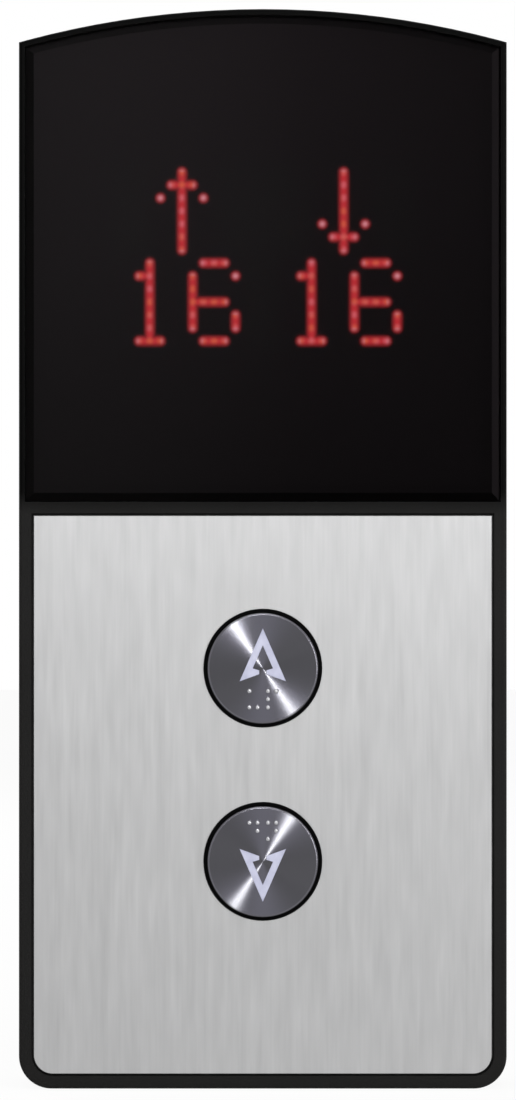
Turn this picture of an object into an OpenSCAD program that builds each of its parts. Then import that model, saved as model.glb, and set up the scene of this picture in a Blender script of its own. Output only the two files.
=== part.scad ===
// Elevator call button panel: arched black frame, smoked display lens, brushed faceplate
// and two illuminated push buttons, hung on a steel back box.
// Drawn lying on its back (x right, y up the wall, z out of the wall) and then stood up.

/* [Panel] */
// Width of the panel over the frame
panel_w = 150; // [144:1:180]
// Height of the panel at the middle of the arch
panel_h = 332; // [320:1:380]
// Rise of the arched top edge above its two corners
arch_rise = 10.2; // [5:0.2:20]
// Radius of the two lower outer corners
corner_r = 10; // [7:0.5:20]

/* [Frame] */
// Wall of the skirt, which is also the rim round the lens
rim_w = 1.8; // [1.4:0.1:3]
// Width of the rails beside and below the faceplate
rail_w = 3.9; // [3:0.1:7]
// Width of the bar between lens and faceplate
bar_w = 3.5; // [2.5:0.1:7]
// Radius of the outer front edge
edge_r = 1; // [0.4:0.1:1.3]
// Width of the ledge that the faceplate rests on
ledge_w = 4; // [2.5:0.5:6]
// Thickness of the shelf behind the lens
shelf_t = 2; // [1.5:0.1:3]
// Space between the skirt and the wall
skirt_lift = 0.8; // [0.3:0.1:2]
// Thickness of the stiffening ribs inside the skirt
rib_t = 1.2; // [0.8:0.1:2]
// Distance between neighbouring ribs
rib_pitch = 38; // [25:1:60]

/* [Lens] */
// Thickness of the smoked lens
lens_t = 2.5; // [2:0.1:4]
// Gap round the edge of the lens
lens_gap = 0.2; // [0.1:0.05:0.4]
// Depth of the lens below the front of the frame
lens_recess = 0.3; // [0:0.1:1]
// Width of the bevel round the lens
bevel_w = 2.6; // [1:0.1:4]
// Depth of that bevel
bevel_d = 0.7; // [0.3:0.1:1.5]
// Thickness of the foam tape under the lens
tape_t = 0.8; // [0.4:0.1:1.5]
// Width of the foam tape
tape_w = 5; // [3:0.5:8]

/* [Faceplate] */
// Height of the bay that holds the faceplate
bay_h = 173; // [165:0.5:182]
// Thickness of the steel faceplate
plate_t = 1.5; // [1:0.1:3]
// Gap round the edge of the faceplate
plate_gap = 0.5; // [0.2:0.05:0.8]
// Depth of the faceplate below the front of the frame
plate_recess = 0.5; // [0:0.1:1.5]
// Radius of the bay's lower corners
plate_corner_r = 6.5; // [3:0.5:10]
// Chamfer on the front edges of the faceplate
plate_chamfer = 0.3; // [0.1:0.05:0.6]
// Chamfer on the front edge of the button holes
hole_chamfer = 0.1; // [0.05:0.05:0.4]
// Diameter of the studs welded to the faceplate
stud_d = 3; // [2.5:0.1:4]
// Length of those studs
stud_l = 9; // [8:0.5:12]

/* [Buttons] */
// Distance from the faceplate's top edge to the up button
up_drop = 47.1; // [40:0.1:60]
// Distance between the two buttons
button_pitch = 59.4; // [52:0.2:75]
// Diameter of the steel button cap
cap_d = 34; // [32:0.5:38]
// Running gap between cap and collar
cap_gap = 0.2; // [0.1:0.05:0.4]
// Depth of the cap over its rolled skirt
cap_depth = 3; // [2.6:0.1:4]
// Thickness of the cap's sheet
cap_t = 0.8; // [0.5:0.05:1.2]
// Rounding of the cap's front edge
cap_edge_r = 0.6; // [0.2:0.05:1]
// Travel of the button
travel = 1.5; // [1:0.1:2.5]
// Wall of the black collar seen round the cap
collar_wall = 0.9; // [0.7:0.1:2]
// Height of the collar above the faceplate
collar_proud = 0.7; // [0.2:0.1:1.5]
// Depth of the button housing behind the faceplate
housing_d = 18.5; // [18:0.1:24]
// Thickness of the flange that the studs clamp
flange_t = 2.5; // [2:0.1:4]
// Distance of a button's studs from its centre
ear_x = 24; // [23.5:0.5:28]

/* [Legend] */
// Height of the arrow over its feet
arrow_h = 16.3; // [12:0.1:18]
// Width of the arrow over its feet
arrow_w = 14.3; // [10:0.1:16]
// Height of the arrow's feet below the button's centre
arrow_foot = 4; // [2:0.1:6]
// Distance between neighbouring braille dots
braille_pitch = 2.5; // [2.3:0.05:2.8]
// Distance between neighbouring braille cells
braille_cell = 5.7; // [5.3:0.1:6.5]
// Diameter of a braille dot
braille_d = 1.5; // [1.2:0.1:1.6]
// Height of a braille dot
braille_h = 0.5; // [0.3:0.05:0.7]

/* [Return spring] */
// Wire of the return spring
wire_d = 0.8; // [0.5:0.1:1.2]
// Number of turns of the spring
spring_turns = 5; // [4:0.5:7]

/* [Switch] */
// Length of the snap switch
switch_l = 12.8; // [11:0.1:14]
// Width of the snap switch
switch_w = 5.8; // [5:0.1:6.4]
// Height of the snap switch
switch_h = 6.5; // [5.5:0.1:7.5]
// Distance from the lever's pivot to the plunger's pin
lever_arm = 9; // [8:0.1:9.6]
// Thickness of the lever
lever_t = 0.3; // [0.2:0.05:0.5]
// Thickness of the switch board
switch_board_t = 1.6; // [1:0.1:2]
// Height of the plug socket on the switch board
socket_h = 5.5; // [4:0.1:8]

/* [Display] */
// Distance from the top of the arch to the middle of the displays
display_drop = 76; // [70:0.5:90]
// Distance between the two displays
display_pitch = 49.8; // [48:0.2:60]
// Distance between dots along a row
dot_pitch_x = 3.3; // [3:0.05:3.9]
// Distance between rows of dots
dot_pitch_y = 4; // [3.4:0.05:4.4]
// Diameter of a dot
dot_d = 2.9; // [2:0.1:2.9]
// Thickness of a dot-matrix module
module_t = 8; // [6:0.1:9]
// Thickness of the display board
display_board_t = 1.6; // [1:0.1:2]
// Height of the terminal block on the display board
terminal_h = 12; // [8:0.5:13]

/* [Back box] */
// Sheet thickness of the back box
box_t = 1.2; // [0.8:0.1:2]
// Gap between the back box and the skirt
box_gap = 0.4; // [0.2:0.1:1]
// Height of the back box's walls
box_h = 15; // [12:0.5:16]
// Space between the plug sockets and the floor of the box
wire_space = 1.2; // [0.6:0.1:6]
// Distance between the wall screws across the panel
screw_pitch_x = 100; // [80:1:110]
// Distance between the wall screws up the panel
screw_pitch_y = 220; // [180:1:240]
// Diameter of the wall screw holes
screw_hole_d = 5.2; // [4:0.1:7]
// Diameter of the keyhole that takes the head of a hanging screw
head_hole_d = 9.5; // [8:0.1:12]
// How far the back box drops onto the hanging screw
keyhole_drop = 10; // [8:0.5:14]
// Diameter of the cable entry through the grommet
cable_d = 20; // [14:0.5:24]
// Diameter of the screws that hold the frame to the back box
frame_screw_d = 3; // [2.5:0.1:4]

/* [Hidden] */
$fn = 64;
arch_fn = 240;
// Overlap of shapes that are joined, and overrun of cuts
eps = 0.5;

// Heights out of the wall, from the back box forward
socket_back = box_t + wire_space;
switch_board_back = socket_back + socket_h;
housing_rear = switch_board_back + switch_board_t;
plate_back = housing_rear + housing_d;
plate_front = plate_back + plate_t;
panel_d = plate_front + plate_recess;
lens_front = panel_d - lens_recess;
lens_back = lens_front - lens_t;
shelf_front = lens_back - tape_t;
web_back = shelf_front - shelf_t;

// Outline of the panel
panel_bottom = -panel_h / 2;
panel_top = panel_h / 2;
arch_r = (pow(panel_w / 2, 2) + pow(arch_rise, 2)) / (2 * arch_rise);
arch_centre = panel_top - arch_r;
bay_bottom = panel_bottom + rail_w;
bay_top = bay_bottom + bay_h;
lens_bottom = bay_top + bar_w;
plate_top = bay_top - plate_gap;

// Places of the buttons and of what fixes the faceplate
up_y = plate_top - up_drop;
down_y = up_y - button_pitch;
lug_inset = 14;
lug_r = stud_d / 2 + 3.2;
lug_x = panel_w / 2 - rail_w - lug_r - 1.2;
stud_hole_gap = 0.2;
frame_stud_places = [
    for (side = [-1, 1], y = [bay_top - lug_inset, bay_bottom + lug_inset]) [side * lug_x, y]
];
button_stud_places = [for (side = [-1, 1], y = [up_y, down_y]) [side * ear_x, y]];
nut_h = 0.8 * stud_d;
nut_r = 1.06 * stud_d;
thread_gap = 0.05;

// Button radii, from the cap outward and inward
cap_r = cap_d / 2;
bore_r = cap_r + cap_gap;
collar_r = bore_r + collar_wall;
collar_gap = 0.1;
flange_r = collar_r + 3;
ear_r = stud_d / 2 + 2.8;
barb_room = 0.6;
housing_wall = 1.4;
cavity_r = bore_r + barb_room;
body_r = cavity_r + housing_wall;
guide_step = 0.9;
guide_r = bore_r - guide_step;
guide_gap = 0.25;
tube_r = guide_r - guide_gap;
tube_wall = 1.6;
tube_in = tube_r - tube_wall;
spring_clear = 0.8;
spring_r = tube_in - spring_clear - wire_d / 2;
seat_in = spring_r - wire_d / 2 - 1;

// Button heights out of the wall
collar_front = plate_front + collar_proud;
cap_over = 0.1;
cap_front = collar_front + travel + cap_over;
cap_in = cap_front - cap_t;
cap_bottom = cap_front - cap_depth;
disc_t = 1.4;
disc_back = cap_in - disc_t;
deck_t = 1.5;
deck_back = disc_back - deck_t;
guide_top = plate_back - flange_t + 0.4;
guide_len = 4.9;
guide_bottom = guide_top - guide_len;
stop_gap = 0.05;
stop_back = guide_top + travel + stop_gap;
seat_rise = 4.6;
seat_t = 1.5;
seat_top = housing_rear + seat_rise;
leg_w = 7;
leg_l = 2.4;
leg_angles = [90, 210, 330];
boss_r = 2.2;
board_boss_x = cavity_r - boss_r - 1;
board_screw_d = 2;
board_head_h = 1.4;

// Return spring: close-wound turns at each end, and the facets of its wire
closed_turns = 0.75;
wire_sides = 8;
rings_per_turn = 16;

// Legend: the arrow's leg width and the bridge that holds its middle
arrow_leg = 2.1;
bridge = 2.2;
legend_gap = 0.06;
// Legend: rise of a foot towards the bridge, its thickness there, and the rise of its inner corner
foot_rise = 2.2;
foot_t = 1.2;
knee_rise = 4;

// Snap switch: the lever falls from its rest angle to its end angle over the travel
switch_y = -4.5;
lever_turn = 0.97 / lever_arm;
lever_end = 1.4;
lever_rest = lever_end + travel * lever_turn * 180 / PI;
pivot_d = 0.8;
roll_wall = 0.3;
roll_gap = 0.03;
roll_r = pivot_d / 2 + roll_gap + roll_wall;
pivot_x = -switch_l / 2 + 1;
pivot_z = housing_rear + switch_h + roll_r + 0.1;
lever_w = switch_w - 1.8;
lever_l = lever_arm + 2.6;
lever_gap = 0.08;
pin_r = 1.4;
pin_x = pivot_x + lever_arm;
pin_z = pivot_z + lever_arm * tan(lever_rest) + (pin_r + lever_gap + lever_t / 2) / cos(lever_rest);
actuator_r = 0.8;
actuator_arm = 4.2;
actuator_x = pivot_x + actuator_arm;
actuator_z = pivot_z + actuator_arm * tan(lever_rest)
    - (actuator_r + lever_gap + lever_t / 2) / cos(lever_rest);
actuator_l = 3;
led_places = [[-6, 4], [6, 4], [0, 8]];
led_r = 1.5;
led_h = 3;
led_rim = 0.3;
socket_y = 6;

// Display: three modules of five by seven dots in each half
display_y = panel_top - display_drop;
module_gap = 0.3;
module_w = 6 * dot_pitch_x - module_gap;
module_h = 7 * dot_pitch_y - module_gap;
module_front = lens_back - 1.2;
module_back = module_front - module_t;
dot_depth = 0.6;
dot_gap = 0.05;
window_w = display_pitch + 12 * dot_pitch_x + 4;
window_h = 14 * dot_pitch_y + 4;
display_board_back = module_back - display_board_t;
board_side_gap = 3.9;
board_margin = 22;
display_board_w = panel_w - 2 * (rim_w + box_gap + box_t + board_side_gap);
display_board_h = window_h + 2 * board_margin;
post_r = 3.4;
post_inset = 4;
post_x = display_board_w / 2 - post_inset;
post_y = display_board_h / 2 - post_inset;
post_places = [for (side = [-1, 1], end = [-1, 1]) [side * post_x, display_y + end * post_y]];
display_screw_d = 2.5;
display_screw_l = 5;
screw_head_h = 1.8;
cross_w = 0.7;
// Pieces on the rear of the display board, placed from its middle
terminal_l = 20.4;
terminal_w = 10;
terminal_y = 9 - display_board_h / 2;
terminal_bore = 1.7;
wire_bore = 1.5;
chip_w = 7.4;
chip_l = 15;
chip_t = 2.3;
chip_y = 6;
controller_w = 12;
controller_t = 1.6;
controller_y = -16;
header_h = 7;
dip_l = 11.6;
dip_w = 9.6;
dip_h = 4.2;
dip_y = -10;
dip_pitch = 2.54;
dip_slot = [1.3, 4, 1];
// Plug sockets: length, width, wall, and the pitch and width of the pins
plug_l = 12.4;
plug_w = 5.8;
plug_wall = 0.8;
plug_floor = 1.4;
pin_pitch = 2.5;
pin_w = 0.7;

// Back box
box_inset = rim_w + box_gap;
hook_x = 40;
hook_w = 12;
hook_z = 8;
hook_t = 2;
hook_gap = 0.6;
hook_end = arch_centre + sqrt(pow(arch_r, 2) - pow(hook_x, 2)) - box_inset - box_t - 2;
frame_screw_x = 45;
frame_screw_z = 8;
weld_nut_h = 3;
grommet_wall = 3;
grommet_lip = 3;
lip_t = 1.3;
dish_rise = lip_t + 0.8;
dish_r = cable_d / 2 + grommet_wall + grommet_lip + 1.5;
dish_slope = 3;
cable_y = bay_top - 2;
// Stiffening beads pressed into the floor, and knock-outs in line with them
bead_x = 34;
bead_w = 8;
bead_d = 0.9;
bead_set = box_t * (sqrt(2) - 1);
hang_inset = 46;
bead_spans = [[panel_bottom + 72, cable_y - 34], [cable_y + 34, panel_top - 70]];
knockout_r = 9;
score_w = 0.8;
score_d = 0.5;
tab_w = 3;
earth_inset = 15;
earth_rise = 36;
earth_place = [earth_inset - panel_w / 2, panel_bottom + earth_rise];
earth_d = 4;
earth_l = 10;
earth_nut_h = 3.2;

// Dot patterns, top row first
UP = ["  #  ", " ### ", "# # #", "  #  ", "  #  ", "  #  ", "  #  "];
DOWN = ["  #  ", "  #  ", "  #  ", "  #  ", "# # #", " ### ", "  #  "];
ONE = ["  #  ", " ##  ", "  #  ", "  #  ", "  #  ", "  #  ", " ### "];
SIX = [" ### ", "#   #", "#    ", "#### ", "#   #", "#   #", " ### "];
// Braille dots, top row first: two cells of two columns
BRAILLE_UP = ["# ##", "  # ", "### "];
BRAILLE_DOWN = ["####", " # #", "  # "];

// Module centres, measured from the middle of a display
ARROW_AT = [0, 3.5 * dot_pitch_y];
TENS_AT = [-3 * dot_pitch_x, -3.5 * dot_pitch_y];
UNITS_AT = [3 * dot_pitch_x, -3.5 * dot_pitch_y];

// Stands the drawing up: y becomes up, and z comes out of the wall
module stand() rotate([90, 0, 0]) children();

// Places a shape at each of a list of points
module at_each(places) for (p = places) translate([p.x, p.y, 0]) children();

// Places a button's pieces; the down button is the same unit turned half round
module at_up() stand() translate([0, up_y, 0]) children();
module at_down() stand() translate([0, down_y, 0]) rotate(180) children();

// Rectangle standing on a level, with rounded lower corners
module footed(w, low, high, r) {
    translate([-w / 2, low + r]) square([w, high - low - r]);
    translate([-w / 2 + r, low]) square([w - 2 * r, high - low]);
    for (side = [-1, 1]) translate([side * (w / 2 - r), low + r]) circle(r);
}

// Outline of the panel, shrunk by an inset: an arch over a rectangle with rounded feet
module outline(inset) intersection() {
    translate([0, arch_centre]) circle(arch_r - inset, $fn = arch_fn);
    footed(panel_w - 2 * inset, panel_bottom + inset, panel_top, corner_r - inset);
}

// Outline of the lens bay, shrunk by a gap
module lens_outline(gap) intersection() {
    outline(rim_w + gap);
    translate([-panel_w / 2, lens_bottom + gap]) square([panel_w, panel_h]);
}

// Outline of the faceplate bay, shrunk by a gap
module bay_outline(gap)
    footed(panel_w - 2 * (rail_w + gap), bay_bottom + gap, bay_top - gap, plate_corner_r - gap);

// Solid between two heights
module slab(low, high) translate([0, 0, low]) linear_extrude(high - low) children();

// Upright cylinder between two heights
module post(low, high, r) translate([0, 0, low]) cylinder(h = high - low, r = r);

// Block between two heights, centred on x and y
module block(low, high, w, h) translate([-w / 2, -h / 2, low]) cube([w, h, high - low]);

// Frame moulding: rounded shell, web with two bays, ribs, posts and hooks
module front_frame() color([0.13, 0.13, 0.13]) stand() difference() {
    union() {
        difference() {
            frame_shell();
            slab(skirt_lift - eps, web_back) outline(rim_w);
            slab(shelf_front, panel_d + eps) lens_outline(0);
            slab(plate_back, panel_d + eps) bay_outline(0);
            translate([0, display_y, 0]) block(web_back - eps, shelf_front + eps, window_w, window_h);
            slab(web_back - eps, plate_back + eps) bay_outline(ledge_w);
        }
        at_each(frame_stud_places) post(web_back, plate_back, lug_r);
        at_each(post_places) post(module_back, web_back + eps, post_r);
        frame_ribs();
        frame_hooks();
    }
    at_each(frame_stud_places) post(web_back - eps, plate_back + eps, stud_d / 2 + stud_hole_gap);
    at_each(post_places) post(module_back - eps, web_back, display_screw_d / 2);
    for (side = [-1, 1]) at_frame_screw(side) {
        post(-eps, rim_w + eps, frame_screw_d / 2 + stud_hole_gap);
        screw_cone(thread_gap);
    }
}

// Solid of the frame with its rounded front edge
module frame_shell() hull() {
    slab(skirt_lift, panel_d - edge_r) outline(0);
    for (a = [30, 60, 90])
        slab(panel_d - edge_r, panel_d - edge_r * (1 - sin(a))) outline(edge_r * (1 - cos(a)));
}

// Short ribs that stiffen the corner between skirt and web
module frame_ribs() {
    count = floor((panel_h - 2 * corner_r - arch_rise) / rib_pitch);
    deep = 5;
    for (side = [-1, 1], i = [0 : count - 1]) {
        y = (i - (count - 1) / 2) * rib_pitch - arch_rise / 2;
        translate([side * (panel_w / 2 - rim_w - deep / 2), y, 0])
            block(web_back - deep, web_back + eps, deep + eps, rib_t);
    }
}

// Tongues under the arch that hang the frame in the back box
module frame_hooks() intersection() {
    slab(hook_z, hook_z + hook_t) outline(rim_w / 2);
    for (side = [-1, 1])
        translate([side * hook_x - hook_w / 2, hook_end, 0]) cube([hook_w, panel_h, panel_d]);
}

// Axis of a frame screw, which goes up through the bottom of the skirt
module at_frame_screw(side)
    translate([side * frame_screw_x, panel_bottom, frame_screw_z]) rotate([-90, 0, 0]) children();

// Countersunk head, widened by a gap
module screw_cone(gap)
    cylinder(h = 0.5 * frame_screw_d, r1 = 0.95 * frame_screw_d + gap, r2 = 0.45 * frame_screw_d + gap);

module frame_screws() color([0.2, 0.2, 0.2]) stand() for (side = [-1, 1]) at_frame_screw(side)
    difference() {
        union() {
            screw_cone(0);
            post(0, box_inset + box_t + weld_nut_h + 1, frame_screw_d / 2);
        }
        post(-eps, 0.4 * frame_screw_d, 0.35 * frame_screw_d, $fn = 6);
    }

// Smoked lens with a bevelled edge
module display_lens() color([0.1, 0.09, 0.1]) stand() hull() {
    slab(lens_back, lens_front - bevel_d) lens_outline(lens_gap);
    slab(lens_back, lens_front) lens_outline(lens_gap + bevel_w);
}

module lens_tape() color([0.05, 0.05, 0.05]) stand() slab(shelf_front, lens_back) difference() {
    lens_outline(1);
    lens_outline(1 + tape_w);
}

// Brushed steel plate with a chamfered edge and two button holes
module faceplate() color([0.78, 0.78, 0.79]) stand() difference() {
    hull() {
        slab(plate_back, plate_front - plate_chamfer) bay_outline(plate_gap);
        slab(plate_back, plate_front) bay_outline(plate_gap + plate_chamfer);
    }
    hole_r = collar_r + collar_gap;
    for (y = [up_y, down_y]) translate([0, y, 0]) {
        post(plate_back - eps, plate_front + eps, hole_r);
        translate([0, 0, plate_front - hole_chamfer])
            cylinder(h = 2 * hole_chamfer, r1 = hole_r, r2 = hole_r + 2 * hole_chamfer);
    }
}

module faceplate_studs() color([0.72, 0.72, 0.72]) stand()
    at_each(concat(frame_stud_places, button_stud_places)) post(plate_back - stud_l, plate_back, stud_d / 2);

// Hexagon nut whose top is at a height
module nut(top) difference() {
    post(top - nut_h, top, nut_r, $fn = 6);
    post(top - nut_h - eps, top + eps, stud_d / 2 + thread_gap);
}

module stud_nuts() color([0.75, 0.72, 0.6]) stand() {
    at_each(frame_stud_places) nut(web_back);
    at_each(button_stud_places) nut(plate_back - flange_t);
}

// Circuit board behind the lens, drilled for its posts
module display_board() color([0.05, 0.3, 0.16]) stand() difference() {
    translate([0, display_y, 0]) block(display_board_back, module_back, display_board_w, display_board_h);
    at_each(post_places)
        post(display_board_back - eps, module_back + eps, display_screw_d / 2 + stud_hole_gap);
}

module display_screws() color([0.75, 0.75, 0.75]) stand() at_each(post_places) difference() {
    union() {
        post(display_board_back - screw_head_h, display_board_back, display_screw_d);
        post(display_board_back - eps, module_back + display_screw_l, display_screw_d / 2 - thread_gap);
    }
    for (turn = [0, 90]) rotate(turn) block(
        display_board_back - screw_head_h - eps, display_board_back - screw_head_h / 2,
        1.2 * display_screw_d, cross_w
    );
}

// Place of a module in the left (-1) or right (1) display
module at_module(side, at) stand()
    translate([side * display_pitch / 2 + at.x, display_y + at.y, 0]) children();

// Centres of the dots of a module, all of them or those that a pattern lights
function dot_places(pattern) = [
    for (row = [0 : 6], col = [0 : 4])
        if (is_undef(pattern) || pattern[row][col] == "#") [(col - 2) * dot_pitch_x, (3 - row) * dot_pitch_y]
];

// Dot-matrix module: a block with a round well for each dot
module dot_module(side, at) color([0.06, 0.06, 0.06]) at_module(side, at) difference() {
    block(module_back, module_front, module_w, module_h);
    at_each(dot_places()) post(module_front - dot_depth, module_front + eps, dot_d / 2);
}

// Lit dots of one module
module lit_dots(side, at, pattern) color([0.9, 0.2, 0.25]) at_module(side, at)
    at_each(dot_places(pattern)) post(module_front - dot_depth, module_front, dot_d / 2 - dot_gap);

module left_arrow_module() dot_module(-1, ARROW_AT);
module left_tens_module() dot_module(-1, TENS_AT);
module left_units_module() dot_module(-1, UNITS_AT);
module right_arrow_module() dot_module(1, ARROW_AT);
module right_tens_module() dot_module(1, TENS_AT);
module right_units_module() dot_module(1, UNITS_AT);

module left_lit_dots() {
    lit_dots(-1, ARROW_AT, UP);
    lit_dots(-1, TENS_AT, ONE);
    lit_dots(-1, UNITS_AT, SIX);
}

module right_lit_dots() {
    lit_dots(1, ARROW_AT, DOWN);
    lit_dots(1, TENS_AT, ONE);
    lit_dots(1, UNITS_AT, SIX);
}

// Place on the rear of the display board, measured from its middle
module on_board(x, y) stand() translate([x, display_y + y, display_board_back]) mirror([0, 0, 1]) children();

// Row drivers behind each digit, and the larger controller between them
module driver_chips() color([0.08, 0.08, 0.09]) {
    for (x = [-2, -1, 1, 2]) on_board(x * display_pitch / 3, chip_y) block(0, chip_t, chip_w, chip_l);
    on_board(0, controller_y) block(0, controller_t, controller_w, controller_w);
}

// Plug-in terminal block for the wiring in the wall
module terminal_block() color([0.1, 0.45, 0.2]) on_board(0, terminal_y) difference() {
    block(0, terminal_h, terminal_l, terminal_w);
    for (i = [-1.5 : 1.5]) translate([i * terminal_l / 4, 0, 0]) {
        post(0.65 * terminal_h, terminal_h + eps, terminal_bore);
        translate([0, -terminal_w / 2 - eps, terminal_h / 3]) rotate([-90, 0, 0])
            cylinder(h = terminal_w * 0.7, r = wire_bore);
    }
}

// Open-topped plug socket with four pins
module pin_socket(h) {
    difference() {
        block(0, h, plug_l, plug_w);
        block(plug_floor, h + eps, plug_l - 2 * plug_wall, plug_w - 2 * plug_wall);
    }
    for (i = [-1.5 : 1.5]) translate([i * pin_pitch, 0, 0]) block(plug_floor - eps, h - 1, pin_w, pin_w);
}

module button_headers() color([0.9, 0.88, 0.8])
    for (side = [-1, 1]) on_board(side * display_board_w / 4, terminal_y) pin_socket(header_h);

// Four-way switch that sets the floor address
module address_switch() color([0.15, 0.25, 0.6]) on_board(display_board_w / 4, dip_y) difference() {
    block(0, dip_h, dip_l, dip_w);
    for (i = [-1.5 : 1.5]) translate([i * dip_pitch, 0, 0])
        block(dip_h - dip_slot.z, dip_h + eps, dip_slot.x, dip_slot.y);
}

// Steel back box: a tray with a dished cable entry, hook slots and weld nuts
module back_box() color([0.66, 0.67, 0.68]) stand() difference() {
    union() {
        difference() {
            slab(0, box_h) outline(box_inset);
            slab(box_t, box_h + eps) outline(box_inset + box_t);
            translate([0, cable_y, 0]) post(-eps, box_t + eps, dish_r + dish_slope);
        }
        translate([0, cable_y, 0]) box_dish();
        floor_beads(box_t, bead_w / 2 + bead_d);
        for (side = [-1, 1]) at_frame_screw(side)
            post(box_inset + box_t / 2, box_inset + box_t + weld_nut_h, frame_screw_d);
    }
    for (x = [-1, 1], y = [-1, 1]) translate([x * screw_pitch_x / 2, y * screw_pitch_y / 2, 0])
        post(-eps, box_t + eps, screw_hole_d / 2);
    translate([0, panel_top - hang_inset, 0]) keyhole();
    for (side = [-1, 1]) {
        at_frame_screw(side) post(0, box_inset + box_t + weld_nut_h + eps, frame_screw_d / 2 + thread_gap);
        translate([side * hook_x - hook_w / 2 - hook_gap, hook_end - 1, hook_z - hook_gap])
            cube([hook_w + 2 * hook_gap, arch_rise + 8, hook_t + 2 * hook_gap]);
    }
    translate([earth_place.x, earth_place.y, 0]) post(-eps, box_t + eps, earth_d / 2 + thread_gap);
    floor_beads(0, bead_w / 2 + bead_d - bead_set);
    for (side = [-1, 1]) translate([side * bead_x, cable_y, 0]) knockout_score();
}

// Entry for a screw head, with the slot that leads up to the screw's place
module keyhole() {
    post(-eps, box_t + eps, head_hole_d / 2);
    translate([-screw_hole_d / 2, 0, -eps]) cube([screw_hole_d, keyhole_drop, box_t + 2 * eps]);
    translate([0, keyhole_drop, 0]) post(-eps, box_t + eps, screw_hole_d / 2);
}

// Long round-ended beads with sloping sides, standing on a level, of a radius at their foot
module floor_beads(low, foot_r) for (side = [-1, 1], span = bead_spans) translate([side * bead_x, 0, low]) {
    for (y = span) translate([0, y, -eps])
        cylinder(h = bead_d + eps, r1 = foot_r + eps, r2 = foot_r - bead_d);
    translate([0, span[1], 0]) rotate([90, 0, 0]) linear_extrude(span[1] - span[0]) polygon([
        [-foot_r - eps, -eps],
        [foot_r + eps, -eps],
        [foot_r - bead_d, bead_d],
        [bead_d - foot_r, bead_d]
    ]);
}

// Scored ring of a knock-out, left whole at two tabs
module knockout_score() difference() {
    post(-eps, score_d, knockout_r);
    post(-2 * eps, score_d + eps, knockout_r - score_w);
    block(-2 * eps, score_d + eps, tab_w, 3 * knockout_r);
}

// Dish pressed into the floor, so that the grommet stays clear of the wall
module box_dish() rotate_extrude() polygon([
    [cable_d / 2 + grommet_wall, dish_rise],
    [dish_r, dish_rise],
    [dish_r + dish_slope, 0],
    [dish_r + dish_slope + 1, 0],
    [dish_r + dish_slope + 1, box_t],
    [dish_r + dish_slope, box_t],
    [dish_r, dish_rise + box_t],
    [cable_d / 2 + grommet_wall, dish_rise + box_t]
]);

// Rubber grommet: two lips round the edge of the dish
module cable_grommet() color([0.08, 0.08, 0.08]) stand() translate([0, cable_y, 0]) difference() {
    union() {
        post(dish_rise - lip_t, dish_rise + box_t + lip_t, cable_d / 2 + grommet_wall - thread_gap);
        for (low = [dish_rise - lip_t, dish_rise + box_t])
            post(low, low + lip_t, cable_d / 2 + grommet_wall + grommet_lip);
    }
    post(0, dish_rise + box_t + lip_t + eps, cable_d / 2);
}

module earth_stud() color([0.8, 0.65, 0.3]) stand() translate([earth_place.x, earth_place.y, 0]) {
    post(0, earth_l, earth_d / 2);
    difference() {
        post(box_t, box_t + earth_nut_h, earth_d, $fn = 6);
        post(0, box_t + earth_nut_h + eps, earth_d / 2 + thread_gap);
    }
}

// Button housing: collar, clamping flange, guide for the plunger, spring seat and board posts
module housing() color([0.07, 0.07, 0.07]) difference() {
    union() {
        rotate_extrude() polygon([
            [guide_r, guide_bottom], [guide_r, guide_top], [bore_r, guide_top],
            [bore_r, collar_front], [collar_r - 0.2, collar_front], [collar_r, collar_front - 0.2],
            [collar_r, plate_back], [flange_r, plate_back], [flange_r, plate_back - flange_t],
            [body_r, plate_back - flange_t], [body_r, housing_rear], [cavity_r, housing_rear],
            [cavity_r, seat_top - seat_t], [seat_in, seat_top - seat_t], [seat_in, seat_top],
            [cavity_r, seat_top], [cavity_r, guide_bottom]
        ]);
        for (side = [-1, 1]) {
            housing_ear(side);
            translate([side * board_boss_x, 0, 0]) post(housing_rear, seat_top - seat_t / 2, boss_r);
        }
    }
    for (side = [-1, 1]) {
        translate([side * ear_x, 0, 0])
            post(plate_back - flange_t - eps, plate_back + eps, stud_d / 2 + stud_hole_gap);
        translate([side * board_boss_x, 0, 0])
            post(housing_rear - eps, seat_top - seat_t / 2, board_screw_d / 2);
    }
}

// Ear that a stud passes through
module housing_ear(side) translate([side * ear_x, 0, 0]) {
    post(plate_back - flange_t, plate_back, ear_r);
    translate([side < 0 ? 0 : -(ear_x - collar_r - 1), -ear_r, plate_back - flange_t])
        cube([ear_x - collar_r - 1, 2 * ear_r, flange_t]);
}

// Arrow legend: an open arrowhead whose feet turn in and leave a bridge to its middle
module arrow_legend() {
    tip = arrow_h - arrow_foot;
    half = arrow_w / 2;
    slope = arrow_h / half;
    inner_tip = tip - arrow_leg * sqrt(1 + pow(slope, 2));
    knee = knee_rise - arrow_foot;
    foot = foot_rise - arrow_foot;
    for (side = [0, 1]) mirror([side, 0]) polygon([
        [0, tip], [half, -arrow_foot], [bridge / 2, foot], [bridge / 2, foot + foot_t],
        [(inner_tip - knee) / slope, knee], [0, inner_tip]
    ]);
}

// Centres of braille dots, given the rows of a pattern and the height of the top row
function braille_places(rows, top) = [
    for (row = [0 : 2], col = [0 : 3])
        if (rows[row][col] == "#")
            let (cell = col < 2 ? -braille_cell / 2 : braille_cell / 2)
                [cell + (col % 2 - 0.5) * braille_pitch, top - row * braille_pitch]
];

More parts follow.
